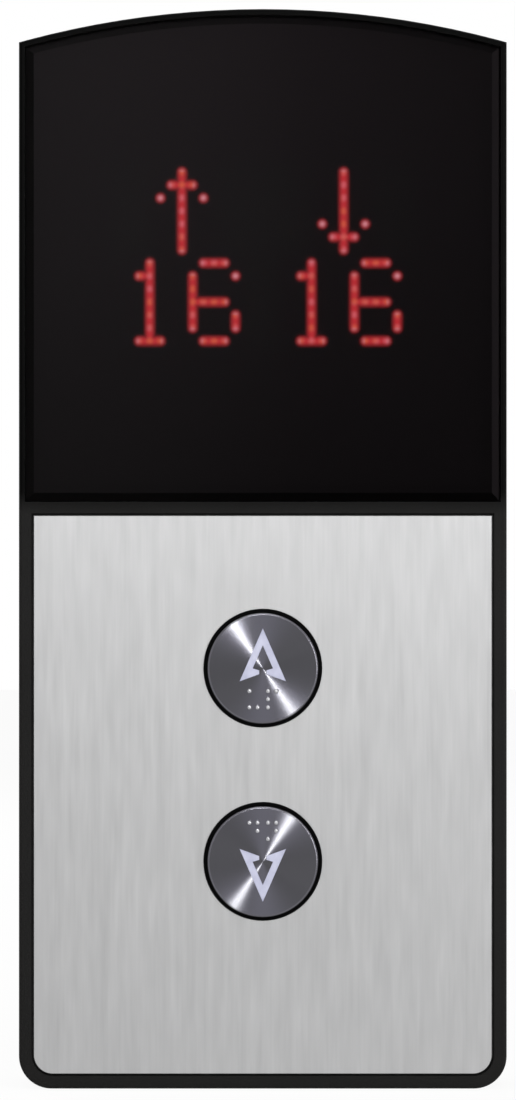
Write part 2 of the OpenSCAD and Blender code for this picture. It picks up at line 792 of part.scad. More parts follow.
// Pressed steel cap with a pierced arrow and raised braille
module cap(places) color([0.4, 0.4, 0.42]) {
    difference() {
        rotate_extrude() difference() {
            union() {
                translate([0, cap_bottom]) square([cap_r, cap_depth - cap_edge_r]);
                translate([0, cap_front - cap_edge_r]) square([cap_r - cap_edge_r, cap_edge_r]);
                translate([cap_r - cap_edge_r, cap_front - cap_edge_r]) circle(cap_edge_r);
            }
            translate([0, cap_bottom - eps]) square([cap_r - cap_t, cap_depth - cap_t + eps]);
        }
        slab(cap_in - eps, cap_front + eps) arrow_legend();
    }
    dome_r = (pow(braille_d / 2, 2) + pow(braille_h, 2)) / (2 * braille_h);
    at_each(places) intersection() {
        translate([0, 0, cap_front + braille_h - dome_r]) sphere(dome_r);
        post(cap_front - cap_t / 2, cap_front + braille_h + eps, dome_r);
    }
}

// Clear disc behind the cap, with the arrow standing in the cap's cut-out
module arrow_lens() color([0.86, 0.85, 0.95]) {
    post(disc_back, cap_in, cap_r - cap_t - guide_gap);
    slab(cap_in - disc_t / 2, cap_front - legend_gap) offset(delta = -legend_gap) arrow_legend();
}

// Plunger: deck under the disc, stop flange, guide tube, three barbed legs and the switch pin
module plunger() color([0.92, 0.92, 0.9]) {
    difference() {
        union() {
            post(guide_bottom + 1, disc_back, tube_r);
            post(stop_back, cap_bottom - stop_gap, bore_r - guide_gap);
        }
        post(guide_bottom, deck_back, tube_in);
        post(guide_bottom, disc_back + eps, seat_in - 0.4);
    }
    intersection() {
        rotate_extrude() polygon([
            [tube_in, guide_bottom + 2], [tube_r, guide_bottom + 2], [tube_r, guide_bottom - stop_gap],
            [guide_r + barb_room, guide_bottom - stop_gap], [guide_r + barb_room, guide_bottom - 0.7],
            [tube_in + 0.4, guide_bottom - leg_l], [tube_in, guide_bottom - leg_l]
        ]);
        for (a = leg_angles) rotate(a) translate([0, -leg_w / 2, 0]) cube([cavity_r, leg_w, panel_d]);
    }
    translate([pin_x, switch_y, 0]) {
        post(pin_z, disc_back, pin_r);
        translate([0, 0, pin_z]) sphere(pin_r);
    }
    spoke_l = seat_in + deck_t + switch_y;
    translate([pin_x - pin_r, switch_y - spoke_l, deck_back]) cube([2 * pin_r, spoke_l, deck_t]);
}

// Height of the wire's middle after a number of turns: close-wound ends, even pitch between
function wire_height(turn) = seat_top + wire_d / 2
    + wire_d * (min(turn, closed_turns) + max(0, turn - spring_turns + closed_turns))
    + (deck_back - seat_top - wire_d * (1 + 2 * closed_turns))
    * min(1, max(0, (turn - closed_turns) / (spring_turns - 2 * closed_turns)));

// Coil with closed ends between the housing's seat and the plunger's deck
module spring() color([0.75, 0.75, 0.76]) {
    rings = spring_turns * rings_per_turn;
    points = [
        for (i = [0 : rings], j = [0 : wire_sides - 1])
            let (a = 360 * i / rings_per_turn, b = 360 * j / wire_sides, r = spring_r + wire_d / 2 * cos(b))
                [r * cos(a), r * sin(a), wire_height(i / rings_per_turn) + wire_d / 2 * sin(b)]
    ];
    walls = [
        for (i = [0 : rings - 1], j = [0 : wire_sides - 1])
            let (k = (j + 1) % wire_sides)
                [i * wire_sides + j, i * wire_sides + k, (i + 1) * wire_sides + k, (i + 1) * wire_sides + j]
    ];
    start = [[for (j = [wire_sides - 1 : -1 : 0]) j]];
    end = [[for (j = [0 : wire_sides - 1]) rings * wire_sides + j]];
    polyhedron(points, concat(walls, start, end));
}

// Round circuit board that closes the housing
module switch_board() color([0.05, 0.3, 0.16]) difference() {
    post(switch_board_back, housing_rear, body_r - collar_gap);
    for (side = [-1, 1]) translate([side * board_boss_x, 0, 0])
        post(switch_board_back - eps, housing_rear + eps, board_screw_d / 2 + collar_gap);
}

module board_screws() color([0.75, 0.75, 0.75])
    for (side = [-1, 1]) translate([side * board_boss_x, 0, 0]) {
        post(switch_board_back - board_head_h, switch_board_back, board_screw_d);
        post(switch_board_back - eps, housing_rear + seat_rise - seat_t, board_screw_d / 2 - thread_gap);
    }

// Snap switch with a pivot pin between two ears
module microswitch() color([0.12, 0.12, 0.13]) translate([0, switch_y, 0]) difference() {
    top = housing_rear + switch_h;
    ear_t = (switch_w - lever_w) / 2 - 0.1;
    union() {
        block(housing_rear, top, switch_l, switch_w);
        for (side = [-1, 1]) translate([pivot_x, side * (switch_w - ear_t) / 2, 0])
            block(top - eps, pivot_z + roll_r, 2 * roll_r, ear_t);
        translate([pivot_x, switch_w / 2, pivot_z]) rotate([90, 0, 0]) cylinder(h = switch_w, d = pivot_d);
    }
    translate([actuator_x, 0, 0]) post(top - actuator_l, top + eps, actuator_r + roll_gap);
    for (side = [-1, 1]) translate([side * switch_l / 4, switch_w / 2 + eps, housing_rear + switch_h / 3])
        rotate([90, 0, 0]) cylinder(h = switch_w + 2 * eps, r = 1);
}

// Spring-steel lever rolled round the pivot pin
module switch_lever() color([0.78, 0.78, 0.78])
    translate([pivot_x, switch_y, pivot_z]) rotate([0, -lever_rest, 0]) difference() {
        union() {
            translate([0, lever_w / 2, 0]) rotate([90, 0, 0]) cylinder(h = lever_w, r = roll_r);
            translate([0, -lever_w / 2, -lever_t / 2]) cube([lever_l, lever_w, lever_t]);
        }
        translate([0, lever_w / 2 + eps, 0]) rotate([90, 0, 0])
            cylinder(h = lever_w + 2 * eps, r = pivot_d / 2 + roll_gap);
    }

// Button of the snap switch, under the lever
module switch_actuator() color([0.8, 0.15, 0.12]) translate([actuator_x, switch_y, 0]) {
    translate([0, 0, actuator_z]) sphere(actuator_r);
    post(actuator_z - actuator_l / 2, actuator_z, actuator_r);
}

// Three lamps that light the legend
module leds() color([0.95, 0.95, 0.98]) at_each(led_places) {
    post(housing_rear, housing_rear + led_h / 4, led_r + led_rim);
    post(housing_rear, housing_rear + led_h, led_r);
    translate([0, 0, housing_rear + led_h]) sphere(led_r);
}

module socket() color([0.9, 0.88, 0.8])
    translate([0, socket_y, switch_board_back]) mirror([0, 0, 1]) pin_socket(socket_h);

// The two buttons' pieces, each in its place
module up_housing() at_up() housing();
module up_cap() at_up() cap(braille_places(BRAILLE_UP, -arrow_foot - 3));
module up_arrow_lens() at_up() arrow_lens();
module up_plunger() at_up() plunger();
module up_spring() at_up() spring();
module up_switch_board() at_up() switch_board();
module up_microswitch() at_up() microswitch();
module up_switch_lever() at_up() switch_lever();
module up_switch_actuator() at_up() switch_actuator();
module up_leds() at_up() leds();
module up_socket() at_up() socket();
module up_board_screws() at_up() board_screws();
module down_housing() at_down() housing();
module down_cap() at_down()
    cap([for (p = braille_places(BRAILLE_DOWN, arrow_foot + 3 + 2 * braille_pitch)) -p]);
module down_arrow_lens() at_down() arrow_lens();
module down_plunger() at_down() plunger();
module down_spring() at_down() spring();
module down_switch_board() at_down() switch_board();
module down_microswitch() at_down() microswitch();
module down_switch_lever() at_down() switch_lever();
module down_switch_actuator() at_down() switch_actuator();
module down_leds() at_down() leds();
module down_socket() at_down() socket();
module down_board_screws() at_down() board_screws();

front_frame();
display_lens();
lens_tape();
faceplate();
faceplate_studs();
stud_nuts();
display_board();
display_screws();
left_arrow_module();
left_tens_module();
left_units_module();
right_arrow_module();
right_tens_module();
right_units_module();
left_lit_dots();
right_lit_dots();
driver_chips();
terminal_block();
button_headers();
address_switch();
back_box();
cable_grommet();
frame_screws();
earth_stud();
up_housing();
up_cap();
up_arrow_lens();
up_plunger();
up_spring();
up_switch_board();
up_microswitch();
up_switch_lever();
up_switch_actuator();
up_leds();
up_socket();
up_board_screws();
down_housing();
down_cap();
down_arrow_lens();
down_plunger();
down_spring();
down_switch_board();
down_microswitch();
down_switch_lever();
down_switch_actuator();
down_leds();
down_socket();
down_board_screws();
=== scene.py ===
# Elevator call button panel: finishes, small parts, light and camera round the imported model
import math
import bpy
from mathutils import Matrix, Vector


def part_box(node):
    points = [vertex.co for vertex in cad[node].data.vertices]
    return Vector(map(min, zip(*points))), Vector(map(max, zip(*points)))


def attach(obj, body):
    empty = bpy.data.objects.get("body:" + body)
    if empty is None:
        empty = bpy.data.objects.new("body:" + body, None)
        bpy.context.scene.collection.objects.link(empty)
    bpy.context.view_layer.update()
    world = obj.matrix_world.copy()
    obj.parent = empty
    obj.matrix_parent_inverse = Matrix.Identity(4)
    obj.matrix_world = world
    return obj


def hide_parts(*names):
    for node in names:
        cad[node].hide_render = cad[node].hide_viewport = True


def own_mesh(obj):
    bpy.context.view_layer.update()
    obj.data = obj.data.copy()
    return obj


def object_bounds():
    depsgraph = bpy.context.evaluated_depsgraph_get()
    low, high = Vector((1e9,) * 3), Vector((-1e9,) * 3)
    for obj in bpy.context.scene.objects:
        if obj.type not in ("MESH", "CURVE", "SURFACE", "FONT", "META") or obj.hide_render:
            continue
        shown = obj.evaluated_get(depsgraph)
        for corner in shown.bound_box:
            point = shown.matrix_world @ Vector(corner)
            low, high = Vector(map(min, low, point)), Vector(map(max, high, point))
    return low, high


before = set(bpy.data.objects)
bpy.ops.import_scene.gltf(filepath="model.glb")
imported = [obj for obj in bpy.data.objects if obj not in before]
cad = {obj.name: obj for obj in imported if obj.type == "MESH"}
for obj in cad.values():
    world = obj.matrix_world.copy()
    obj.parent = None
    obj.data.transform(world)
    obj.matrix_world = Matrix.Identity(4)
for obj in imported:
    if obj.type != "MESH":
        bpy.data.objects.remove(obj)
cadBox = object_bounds()
scene = bpy.context.scene
scene.view_settings.view_transform = "Standard"
mm = 0.001
print("loaded", len(cad), "nodes")


# Node helpers: a value that is a socket is linked in its own tree, any other is set
def setInputs(sockets, values):
    for key, value in values.items():
        if isinstance(value, bpy.types.NodeSocket):
            value.id_data.links.new(value, sockets[key])
        else:
            sockets[key].default_value = value


def addNode(tree, kind, inputs=None, **settings):
    node = tree.nodes.new(kind)
    for name, value in settings.items():
        setattr(node, name, value)
    setInputs(node.inputs, inputs or {})
    return node


def firstOut(tree, kind, inputs=None, **settings):
    return addNode(tree, kind, inputs, **settings).outputs[0]


def calc(operation, first, second=0.0):
    return firstOut(first.id_data, "ShaderNodeMath", {0: first, 1: second}, operation=operation)


def plus(first, second):
    return calc("ADD", first, second)


def minus(first, second):
    return calc("SUBTRACT", first, second)


def times(first, second):
    return calc("MULTIPLY", first, second)


# How far a value is from a half, times an amount
def swing(value, amount):
    return times(minus(value, 0.5), amount)


def spread(value, low, high, fromLow=0.0, fromHigh=1.0):
    inputs = {0: value, 1: fromLow, 2: fromHigh, 3: low, 4: high}
    return firstOut(value.id_data, "ShaderNodeMapRange", inputs)


def blend(amount, first, second):
    return firstOut(amount.id_data, "ShaderNodeMix", {0: amount, 2: first, 3: second})


def rgba(colour):
    return (*colour, 1.0)


def blendColour(amount, first, second, way="MIX"):
    sockets = [part for part in (amount, first, second) if isinstance(part, bpy.types.NodeSocket)]
    first, second = (rgba(part) if isinstance(part, tuple) else part for part in (first, second))
    return addNode(sockets[0].id_data, "ShaderNodeMix", {0: amount, 6: first, 7: second}, data_type="RGBA",
                   blend_type=way).outputs[2]


def vectorCalc(operation, first, second=None):
    inputs = {0: first} if second is None else {0: first, 1: second}
    outputs = addNode(first.id_data, "ShaderNodeVectorMath", inputs, operation=operation).outputs
    return outputs["Value" if operation in ("DOT_PRODUCT", "LENGTH") else "Vector"]


def turnAboutY(vector, angle):
    inputs = {"Vector": vector, "Angle": angle}
    return firstOut(vector.id_data, "ShaderNodeVectorRotate", inputs, rotation_type="Y_AXIS")


def splitAxes(place):
    return addNode(place.id_data, "ShaderNodeSeparateXYZ", {0: place}).outputs


def joinAxes(tree, x=0.0, y=0.0, z=0.0):
    return firstOut(tree, "ShaderNodeCombineXYZ", {0: x, 1: y, 2: z})


def noise(place, scale, detail, rough=0.5, output=0):
    inputs = {"Vector": place, "Scale": scale, "Detail": detail, "Roughness": rough}
    return addNode(place.id_data, "ShaderNodeTexNoise", inputs).outputs[output]


def objectPlace(tree):
    return addNode(tree, "ShaderNodeTexCoord").outputs["Object"]


# An input is given by its default, or by the word for its kind if it has none
def newGroup(name, kind, inputs, outputs):
    kinds = {float: "Float", int: "Int", tuple: "Vector"}
    tree = bpy.data.node_groups.new(name, kind)
    for title, value in inputs.items():
        word = kinds.get(type(value), value)
        socket = tree.interface.new_socket(name=title, in_out="INPUT", socket_type="NodeSocket" + word)
        if word != value:
            socket.default_value = value
    for title, word in outputs.items():
        tree.interface.new_socket(name=title, in_out="OUTPUT", socket_type="NodeSocket" + word)
    start = tree.nodes.new("NodeGroupInput")
    end = tree.nodes.new("NodeGroupOutput")
    return tree, start.outputs, end.inputs


def useGroup(tree, group, inputs):
    return addNode(tree, "ShaderNodeGroup", inputs, node_tree=group).outputs


# Shared effect: moulded or cast grain, with slow patches of tone
grainPlan = {"detail": 2.0, "rough": 0.6, "patchDetail": 4.0}


def makeFineGrain(plan):
    tree, start, end = newGroup(
        "fineGrain", "ShaderNodeTree", {"Scale": 2500.0, "Patch Scale": 40.0, "Patch Amount": 0.1},
        {"Height": "Float", "Tone": "Float"})
    place = objectPlace(tree)
    fine = noise(place, start["Scale"], plan["detail"], plan["rough"])
    patch = noise(place, start["Patch Scale"], plan["patchDetail"])
    tone = plus(swing(patch, start["Patch Amount"]), 1.0)
    setInputs(end, {"Height": fine, "Tone": tone})
    return tree


# Shared effect: softened edges and where they are rubbed
wearPlan = {"samples": 4, "flat": 0.99, "bent": 0.8, "detail": 3.0, "rubLeast": 0.2, "rubFrom": 0.4,
            "rubTo": 0.65}


def makeEdgeWear(plan):
    tree, start, end = newGroup(
        "edgeWear", "ShaderNodeTree", {"Radius": 0.0003, "Breakup": 300.0},
        {"Mask": "Float", "Normal": "Vector"})
    rounded = firstOut(tree, "ShaderNodeBevel", {"Radius": start["Radius"]}, samples=plan["samples"])
    flat = addNode(tree, "ShaderNodeNewGeometry").outputs["True Normal"]
    turn = vectorCalc("DOT_PRODUCT", rounded, flat)
    edge = spread(turn, 0.0, 1.0, plan["flat"], plan["bent"])
    patch = noise(objectPlace(tree), start["Breakup"], plan["detail"])
    rubbed = spread(patch, plan["rubLeast"], 1.0, plan["rubFrom"], plan["rubTo"])
    setInputs(end, {"Mask": times(edge, rubbed), "Normal": rounded})
    return tree


# Shared effect: brushed hairlines along whichever axis has the smallest scale
linePlan = {"detail": 3.0, "rough": 0.7, "share": 0.55, "wide": (0.16, 0.16, 0.3), "wideDetail": 2.0,
            "wideShare": 0.45}


def makeHairlines(plan):
    tree, start, end = newGroup(
        "hairlines", "ShaderNodeTree", {"Scale": (3000.0, 3000.0, 12.0), "Contrast": 0.1},
        {"Height": "Float", "Tone": "Float"})
    stretched = vectorCalc("MULTIPLY", objectPlace(tree), start["Scale"])
    fine = noise(stretched, 1.0, plan["detail"], plan["rough"])
    broad = noise(vectorCalc("MULTIPLY", stretched, plan["wide"]), 1.0, plan["wideDetail"])
    both = plus(times(fine, plan["share"]), times(broad, plan["wideShare"]))
    tone = plus(swing(both, start["Contrast"]), 1.0)
    setInputs(end, {"Height": both, "Tone": tone})
    return tree


fineGrain = makeFineGrain(grainPlan)
edgeWear = makeEdgeWear(wearPlan)
hairlines = makeHairlines(linePlan)


# What the finishes share: each takes its numbers from a look
def newFinish(name):
    material = bpy.data.materials.new(name)
    material.use_nodes = True
    tree = material.node_tree
    tree.nodes.clear()
    shader = addNode(tree, "ShaderNodeBsdfPrincipled")
    addNode(tree, "ShaderNodeOutputMaterial", {"Surface": shader.outputs[0]})
    return material, tree, shader.inputs


def useGrain(tree, look):
    return useGroup(tree, fineGrain, {"Scale": look["grain"], "Patch Scale": look["patchScale"],
                                      "Patch Amount": look["patch"]})


def useWear(tree, look):
    return useGroup(tree, edgeWear, {"Radius": look["edge"], "Breakup": look["breakup"]})


def useLines(tree, look):
    return useGroup(tree, hairlines, {"Scale": look["lines"], "Contrast": look["contrast"]})


def tinted(colour, tone):
    grey = firstOut(tone.id_data, "ShaderNodeCombineColor", {0: tone, 1: tone, 2: tone})
    return blendColour(1.0, colour, grey, "MULTIPLY")


def layColour(shader, colour, mask, look):
    rubbed = times(mask, look["wear"])
    setInputs(shader, {"Base Color": blendColour(rubbed, colour, look["worn"])})


def layRoughness(shader, value, look):
    low = look["rough"] - look["roughSwing"]
    high = look["rough"] + look["roughSwing"]
    setInputs(shader, {"Roughness": spread(value, low, high)})


def layBump(shader, height, look, normal=None):
    inputs = {"Height": height, "Strength": look["bump"], "Distance": look["depth"]}
    if normal is not None:
        inputs["Normal"] = normal
    setInputs(shader, {"Normal": firstOut(height.id_data, "ShaderNodeBump", inputs)})


def laySurface(shader, look, tone, height, mask, normal=None):
    layColour(shader, tinted(look["colour"], tone), mask, look)
    layRoughness(shader, height, look)
    layBump(shader, height, look, normal)


# Moulded plastic, rubber or foam: grained, with paler edges; a look may change the basics
mouldedBasics = {"patch": 0.25, "patchScale": 60.0, "fleck": 0.1, "pits": 0.3, "tops": 0.7,
                 "edge": 0.25 * mm, "breakup": 260.0, "wear": 0.5, "roughSwing": 0.06, "bump": 0.3,
                 "depth": 0.05 * mm, "gloss": 0.4}
mouldedLooks = {
    "satinBlack": {
        "colour": (0.0136, 0.0133, 0.0130), "worn": (0.024,) * 3, "rough": 0.42, "gloss": 0.03,
        "grain": 2300.0, "bump": 0.9, "fleck": 0.3, "edge": 0.3 * mm,
        # Painted shade on the front above a level, painted light on the sides
        "shade": {"behind": -29.2 * mm, "front": -29.8 * mm, "low": 10.5 * mm, "high": 17.5 * mm,
                  "least": 0.05, "sides": 1.75}},
    "collarBlack": {
        "colour": (0.0012, 0.0012, 0.0014), "worn": (0.004, 0.004, 0.005), "rough": 0.40, "gloss": 0.02,
        "grain": 2400.0, "bump": 0.15, "edge": 0.12 * mm},
    "foamTape": {
        "colour": (0.008,) * 3, "worn": (0.02,) * 3, "rough": 0.9, "gloss": 0.1,
        "grain": 1600.0, "bump": 0.9},
    "moduleBlack": {
        "colour": (0.006, 0.006, 0.007), "worn": (0.02,) * 3, "rough": 0.55, "gloss": 0.15,
        "grain": 2200.0},
    "chipBlack": {
        "colour": (0.012, 0.012, 0.013), "worn": (0.04,) * 3, "rough": 0.6, "gloss": 0.3,
        "grain": 4200.0},
    "terminalGreen": {
        "colour": (0.012, 0.20, 0.060), "worn": (0.06, 0.35, 0.14), "rough": 0.4, "grain": 1800.0},
    "ivoryNylon": {
        "colour": (0.78, 0.74, 0.60), "worn": (0.88, 0.86, 0.76), "rough": 0.45, "grain": 1500.0},
    "switchBlue": {
        "colour": (0.02, 0.06, 0.34), "worn": (0.10, 0.16, 0.5), "rough": 0.38, "grain": 2400.0},
    "rubberBlack": {
        "colour": (0.018, 0.018, 0.019), "worn": (0.045, 0.045, 0.046), "rough": 0.72, "gloss": 0.3,
        "grain": 1900.0, "bump": 0.5, "edge": 0.5 * mm},
    "whiteAcetal": {
        "colour": (0.80, 0.80, 0.77), "worn": (0.90, 0.90, 0.88), "rough": 0.42, "grain": 1700.0},
    "switchBlack": {
        "colour": (0.016, 0.016, 0.018), "worn": (0.05,) * 3, "rough": 0.48, "grain": 2600.0},
    "actuatorRed": {
        "colour": (0.50, 0.020, 0.015), "worn": (0.65, 0.10, 0.08), "rough": 0.35, "grain": 3000.0},
    "clearLamp": {
        "colour": (0.86, 0.88, 0.92), "worn": (0.95, 0.95, 0.97), "rough": 0.12, "gloss": 0.6,
        "grain": 900.0, "bump": 0.05},
    "darkDots": {
        "colour": (0.05, 0.022, 0.022), "worn": (0.07, 0.04, 0.04), "rough": 0.4, "gloss": 0.2,
        "grain": 2000.0, "bump": 0.1},
}


def mouldedFinish(name, changes):
    look = {**mouldedBasics, **changes}
    material, tree, shader = newFinish(name)
    grain = useGrain(tree, look)
    wear = useWear(tree, look)
    # Pits of the grain are darker than its tops: painted shade in the pits
    fleck = spread(grain["Height"], 1.0 - look["fleck"], 1.0 + look["fleck"], look["pits"], look["tops"])
    tone = times(grain["Tone"], fleck)
    # Painted shade and light: the front is painted deeper black above a level, and the sides are painted a
    # little paler
    if "shade" in look:  # the front is deeper black above a level, the sides are a little paler
        shade = look["shade"]
        axes = splitAxes(objectPlace(tree))
        fade = spread(axes["Z"], 1.0, shade["least"], shade["low"], shade["high"])
        facing = spread(axes["Y"], 0.0, 1.0, shade["behind"], shade["front"])
        tone = times(tone, blend(facing, shade["sides"], fade))
    laySurface(shader, look, tone, grain["Height"], wear["Mask"], wear["Normal"])
    setInputs(shader, {"Specular IOR Level": look["gloss"]})
    return material


# Bare or plated metal: hairlines along one axis, brighter edges; a look may change the basics
metalBasics = {"edge": 0.15 * mm, "breakup": 400.0, "wear": 0.6, "roughSwing": 0.08, "bump": 0.2,
               "depth": 0.02 * mm}
metalLooks = {
    "brightSteel": {
        "colour": (0.60, 0.60, 0.61), "worn": (0.8,) * 3, "rough": 0.28, "contrast": 0.3,
        "lines": (2600.0, 60.0, 2600.0)},
    "zincPlate": {
        "colour": (0.58, 0.57, 0.50), "worn": (0.78, 0.77, 0.72), "rough": 0.36, "contrast": 0.4,
        "lines": (900.0,) * 3},
    "blackScrew": {
        "colour": (0.040, 0.040, 0.042), "worn": (0.22,) * 3, "rough": 0.38, "contrast": 0.4,
        "lines": (1400.0,) * 3, "wear": 0.8},
    "brass": {
        "colour": (0.66, 0.47, 0.18), "worn": (0.85, 0.68, 0.36), "rough": 0.30, "contrast": 0.3,
        "lines": (2200.0, 80.0, 2200.0)},
    "solderTin": {
        "colour": (0.58, 0.59, 0.60), "worn": (0.75, 0.75, 0.76), "rough": 0.30, "contrast": 0.5,
        "lines": (1100.0,) * 3},
    "springSteel": {
        "colour": (0.52, 0.52, 0.53), "worn": (0.7,) * 3, "rough": 0.26, "contrast": 0.35,
        "lines": (1800.0,) * 3},
}


def metalFinish(name, changes):
    look = {**metalBasics, **changes}
    material, tree, shader = newFinish(name)
    lines = useLines(tree, look)
    wear = useWear(tree, look)
    laySurface(shader, look, lines["Tone"], lines["Height"], wear["Mask"], wear["Normal"])
    setInputs(shader, {"Metallic": 1.0})
    return material


# Faceplate: vertical hairlines and short dashes, which spread light sideways
# The pale worn edge colour is partly rubbed metal and partly a painted highlight along the edges and hole
# chamfers
plateLook = {"colour": (0.429, 0.429, 0.432), "worn": (0.9,) * 3, "wear": 0.5, "edge": 0.2 * mm,
             "breakup": 400.0, "rough": 0.39, "roughSwing": 0.07, "bump": 0.12, "depth": 0.02 * mm,
             "spread": 0.55, "contrast": 0.26, "lines": (1500.0, 1500.0, 40.0),
             "dashes": (340.0, 340.0, 52.0), "dashDetail": 1.0, "dashLow": 0.25, "dashHigh": 0.75,
             "dashTone": 0.05}


def faceplateFinish(look):
    material, tree, shader = newFinish("brushedFaceplate")
    lines = useLines(tree, look)
    wear = useWear(tree, look)
    drawn = vectorCalc("MULTIPLY", objectPlace(tree), look["dashes"])
    dash = noise(drawn, 1.0, look["dashDetail"])
    shift = spread(dash, -look["dashTone"], look["dashTone"], look["dashLow"], look["dashHigh"])
    tone = plus(lines["Tone"], shift)
    # Edge colour: partly wear, partly painted highlight
    laySurface(shader, look, tone, lines["Height"], wear["Mask"])
    setInputs(shader, {"Metallic": 1.0, "Anisotropic": look["spread"], "Tangent": joinAxes(tree, x=1.0)})
    return material


# Button caps: spun rings, with a bright fan across the middle that is a painted highlight, a painted soft
# glow round it, and painted highlights on the rolled rim and the braille dots
# The colours brighter than the steel are painted highlights: the fan, the glow round it, the rolled rim and
# the braille dots
capLook = {"colour": (0.079, 0.078, 0.087), "bright": (0.34, 0.34, 0.37), "glow": (0.125, 0.123, 0.148),
           "bead": (0.42, 0.42, 0.44), "beadRise": 0.12 * mm, "front": -31.83 * mm,
           "rim": (0.125, 0.122, 0.140), "rimRadius": 16.5 * mm, "rimWidth": 0.2 * mm,
           "rings": 6000.0, "ringDetail": 2.0, "ringTone": 0.2, "edge": 0.15 * mm, "breakup": 400.0,
           "rough": 0.18, "roughSwing": 0.05, "bump": 0.15, "depth": 0.02 * mm, "spread": 0.97,
           "fan": 155.0, "halo": 8.0, "crown": 9.0}


def capFinish(name, look, middle, fanTurn, fanLift, swirlTurn):
    material, tree, shader = newFinish(name)
    place = objectPlace(tree)
    local = vectorCalc("SUBTRACT", place, (middle.x, 0.0, middle.z))
    flat = vectorCalc("MULTIPLY", local, (1.0, 0.0, 1.0))
    radius = vectorCalc("LENGTH", flat)
    outward = vectorCalc("NORMALIZE", flat)
    rings = firstOut(tree, "ShaderNodeTexNoise",
                     {"W": times(radius, look["rings"]), "Scale": 1.0, "Detail": look["ringDetail"]},
                     noise_dimensions="1D")
    fanAngle = math.radians(90.0 + fanTurn)
    along = vectorCalc("DOT_PRODUCT", outward, (math.cos(fanAngle), 0.0, math.sin(fanAngle)))
    near = calc("ABSOLUTE", along)
    upright = calc("ABSOLUTE", splitAxes(outward)["Z"])
    # Painted soft glow, strongest along the fan's line and along the upright
    halo = calc("MAXIMUM", calc("POWER", near, look["halo"]), calc("POWER", upright, look["crown"]))
    ringTone = spread(rings, 1.0 - look["ringTone"], 1.0 + look["ringTone"])
    ringed = tinted(look["colour"], ringTone)
    paintedHaloColour = blendColour(halo, ringed, look["glow"])
    # Painted highlight on the rolled rim
    rolled = spread(radius, 0.0, 1.0, look["rimRadius"] - look["rimWidth"], look["rimRadius"])
    paintedRimColour = blendColour(rolled, paintedHaloColour, look["rim"])
    # Painted highlight fan along its line, lifted more on the down cap
    paintedFanColour = blendColour(calc("POWER", near, look["fan"]), paintedRimColour,
                         tuple(fanLift * part for part in look["bright"]))
    # Painted highlight on the raised braille dots
    depth = splitAxes(place)["Y"]
    raised = spread(depth, 0.0, 1.0, look["front"], look["front"] - look["beadRise"])
    paintedBeadColour = blendColour(raised, paintedFanColour, look["bead"])
    layRoughness(shader, rings, look)
    layBump(shader, rings, look, useWear(tree, look)["Normal"])
    setInputs(shader, {"Base Color": paintedBeadColour, "Tangent": turnAboutY(outward, math.radians(swirlTurn)),
                       "Metallic": 1.0, "Anisotropic": look["spread"]})
    return material


# Smoked lens: dark clear plastic that lets the lit dots through, under a painted sheen: a clear coat that
# is stronger towards the left
lensLook = {"tint": (0.100, 0.085, 0.090), "rough": 0.30, "sheen": (0.055, 0.045, 0.050), "index": 1.49,
            "grain": 900.0, "patchScale": 9.0, "patch": 0.2, "hazeLeft": 0.055, "hazeRight": 0.004,
            "hazeFrom": -72.0 * mm, "hazeTo": 15.0 * mm, "hazeRough": 0.42}


def lensFinish(look):
    material, tree, shader = newFinish("smokedLens")
    haze = useGrain(tree, look)
    across = splitAxes(objectPlace(tree))["X"]
    # Painted sheen: the coat weight ramps up towards the left of the lens
    paintedSheenRamp = spread(across, look["hazeLeft"], look["hazeRight"], look["hazeFrom"], look["hazeTo"])
    setInputs(shader, {
        "Base Color": tinted(look["tint"], haze["Tone"]), "Roughness": look["rough"],
        "Coat Weight": times(paintedSheenRamp, haze["Tone"]), "Coat Roughness": look["hazeRough"],
        "Transmission Weight": 1.0, "IOR": look["index"], "Specular Tint": rgba(look["sheen"])})
    return material


# Lit strokes: brightest along the ridge, pink over each dot, palest on a lone dot or the end of a stroke
dotLook = {"half": 24.9 * mm, "pitchX": 3.3 * mm, "pitchZ": 4.0 * mm, "rowZ": 92.0 * mm,
           "coreFrom": 0.2 * mm, "coreTo": 1.55 * mm, "base": -26.0 * mm, "dome": 0.9 * mm,
           "pink": (0.95, 0.18, 0.21), "red": (0.76, 0.045, 0.055), "orange": (0.95, 0.16, 0.08),
           "pale": (1.0, 0.40, 0.44), "drift": 140.0, "driftDetail": 1.0, "driftLow": 0.4, "driftHigh": 0.6,
           "power": 6.2, "fade": 4.6, "unlit": (0.02, 0.0, 0.0), "unlitShare": 0.9, "gloss": 0.05}


# How far a value is from the nearest whole number of pitches
def offPitch(value, pitch):
    steps = calc("DIVIDE", value, pitch)
    return times(minus(steps, calc("ROUND", steps)), pitch)


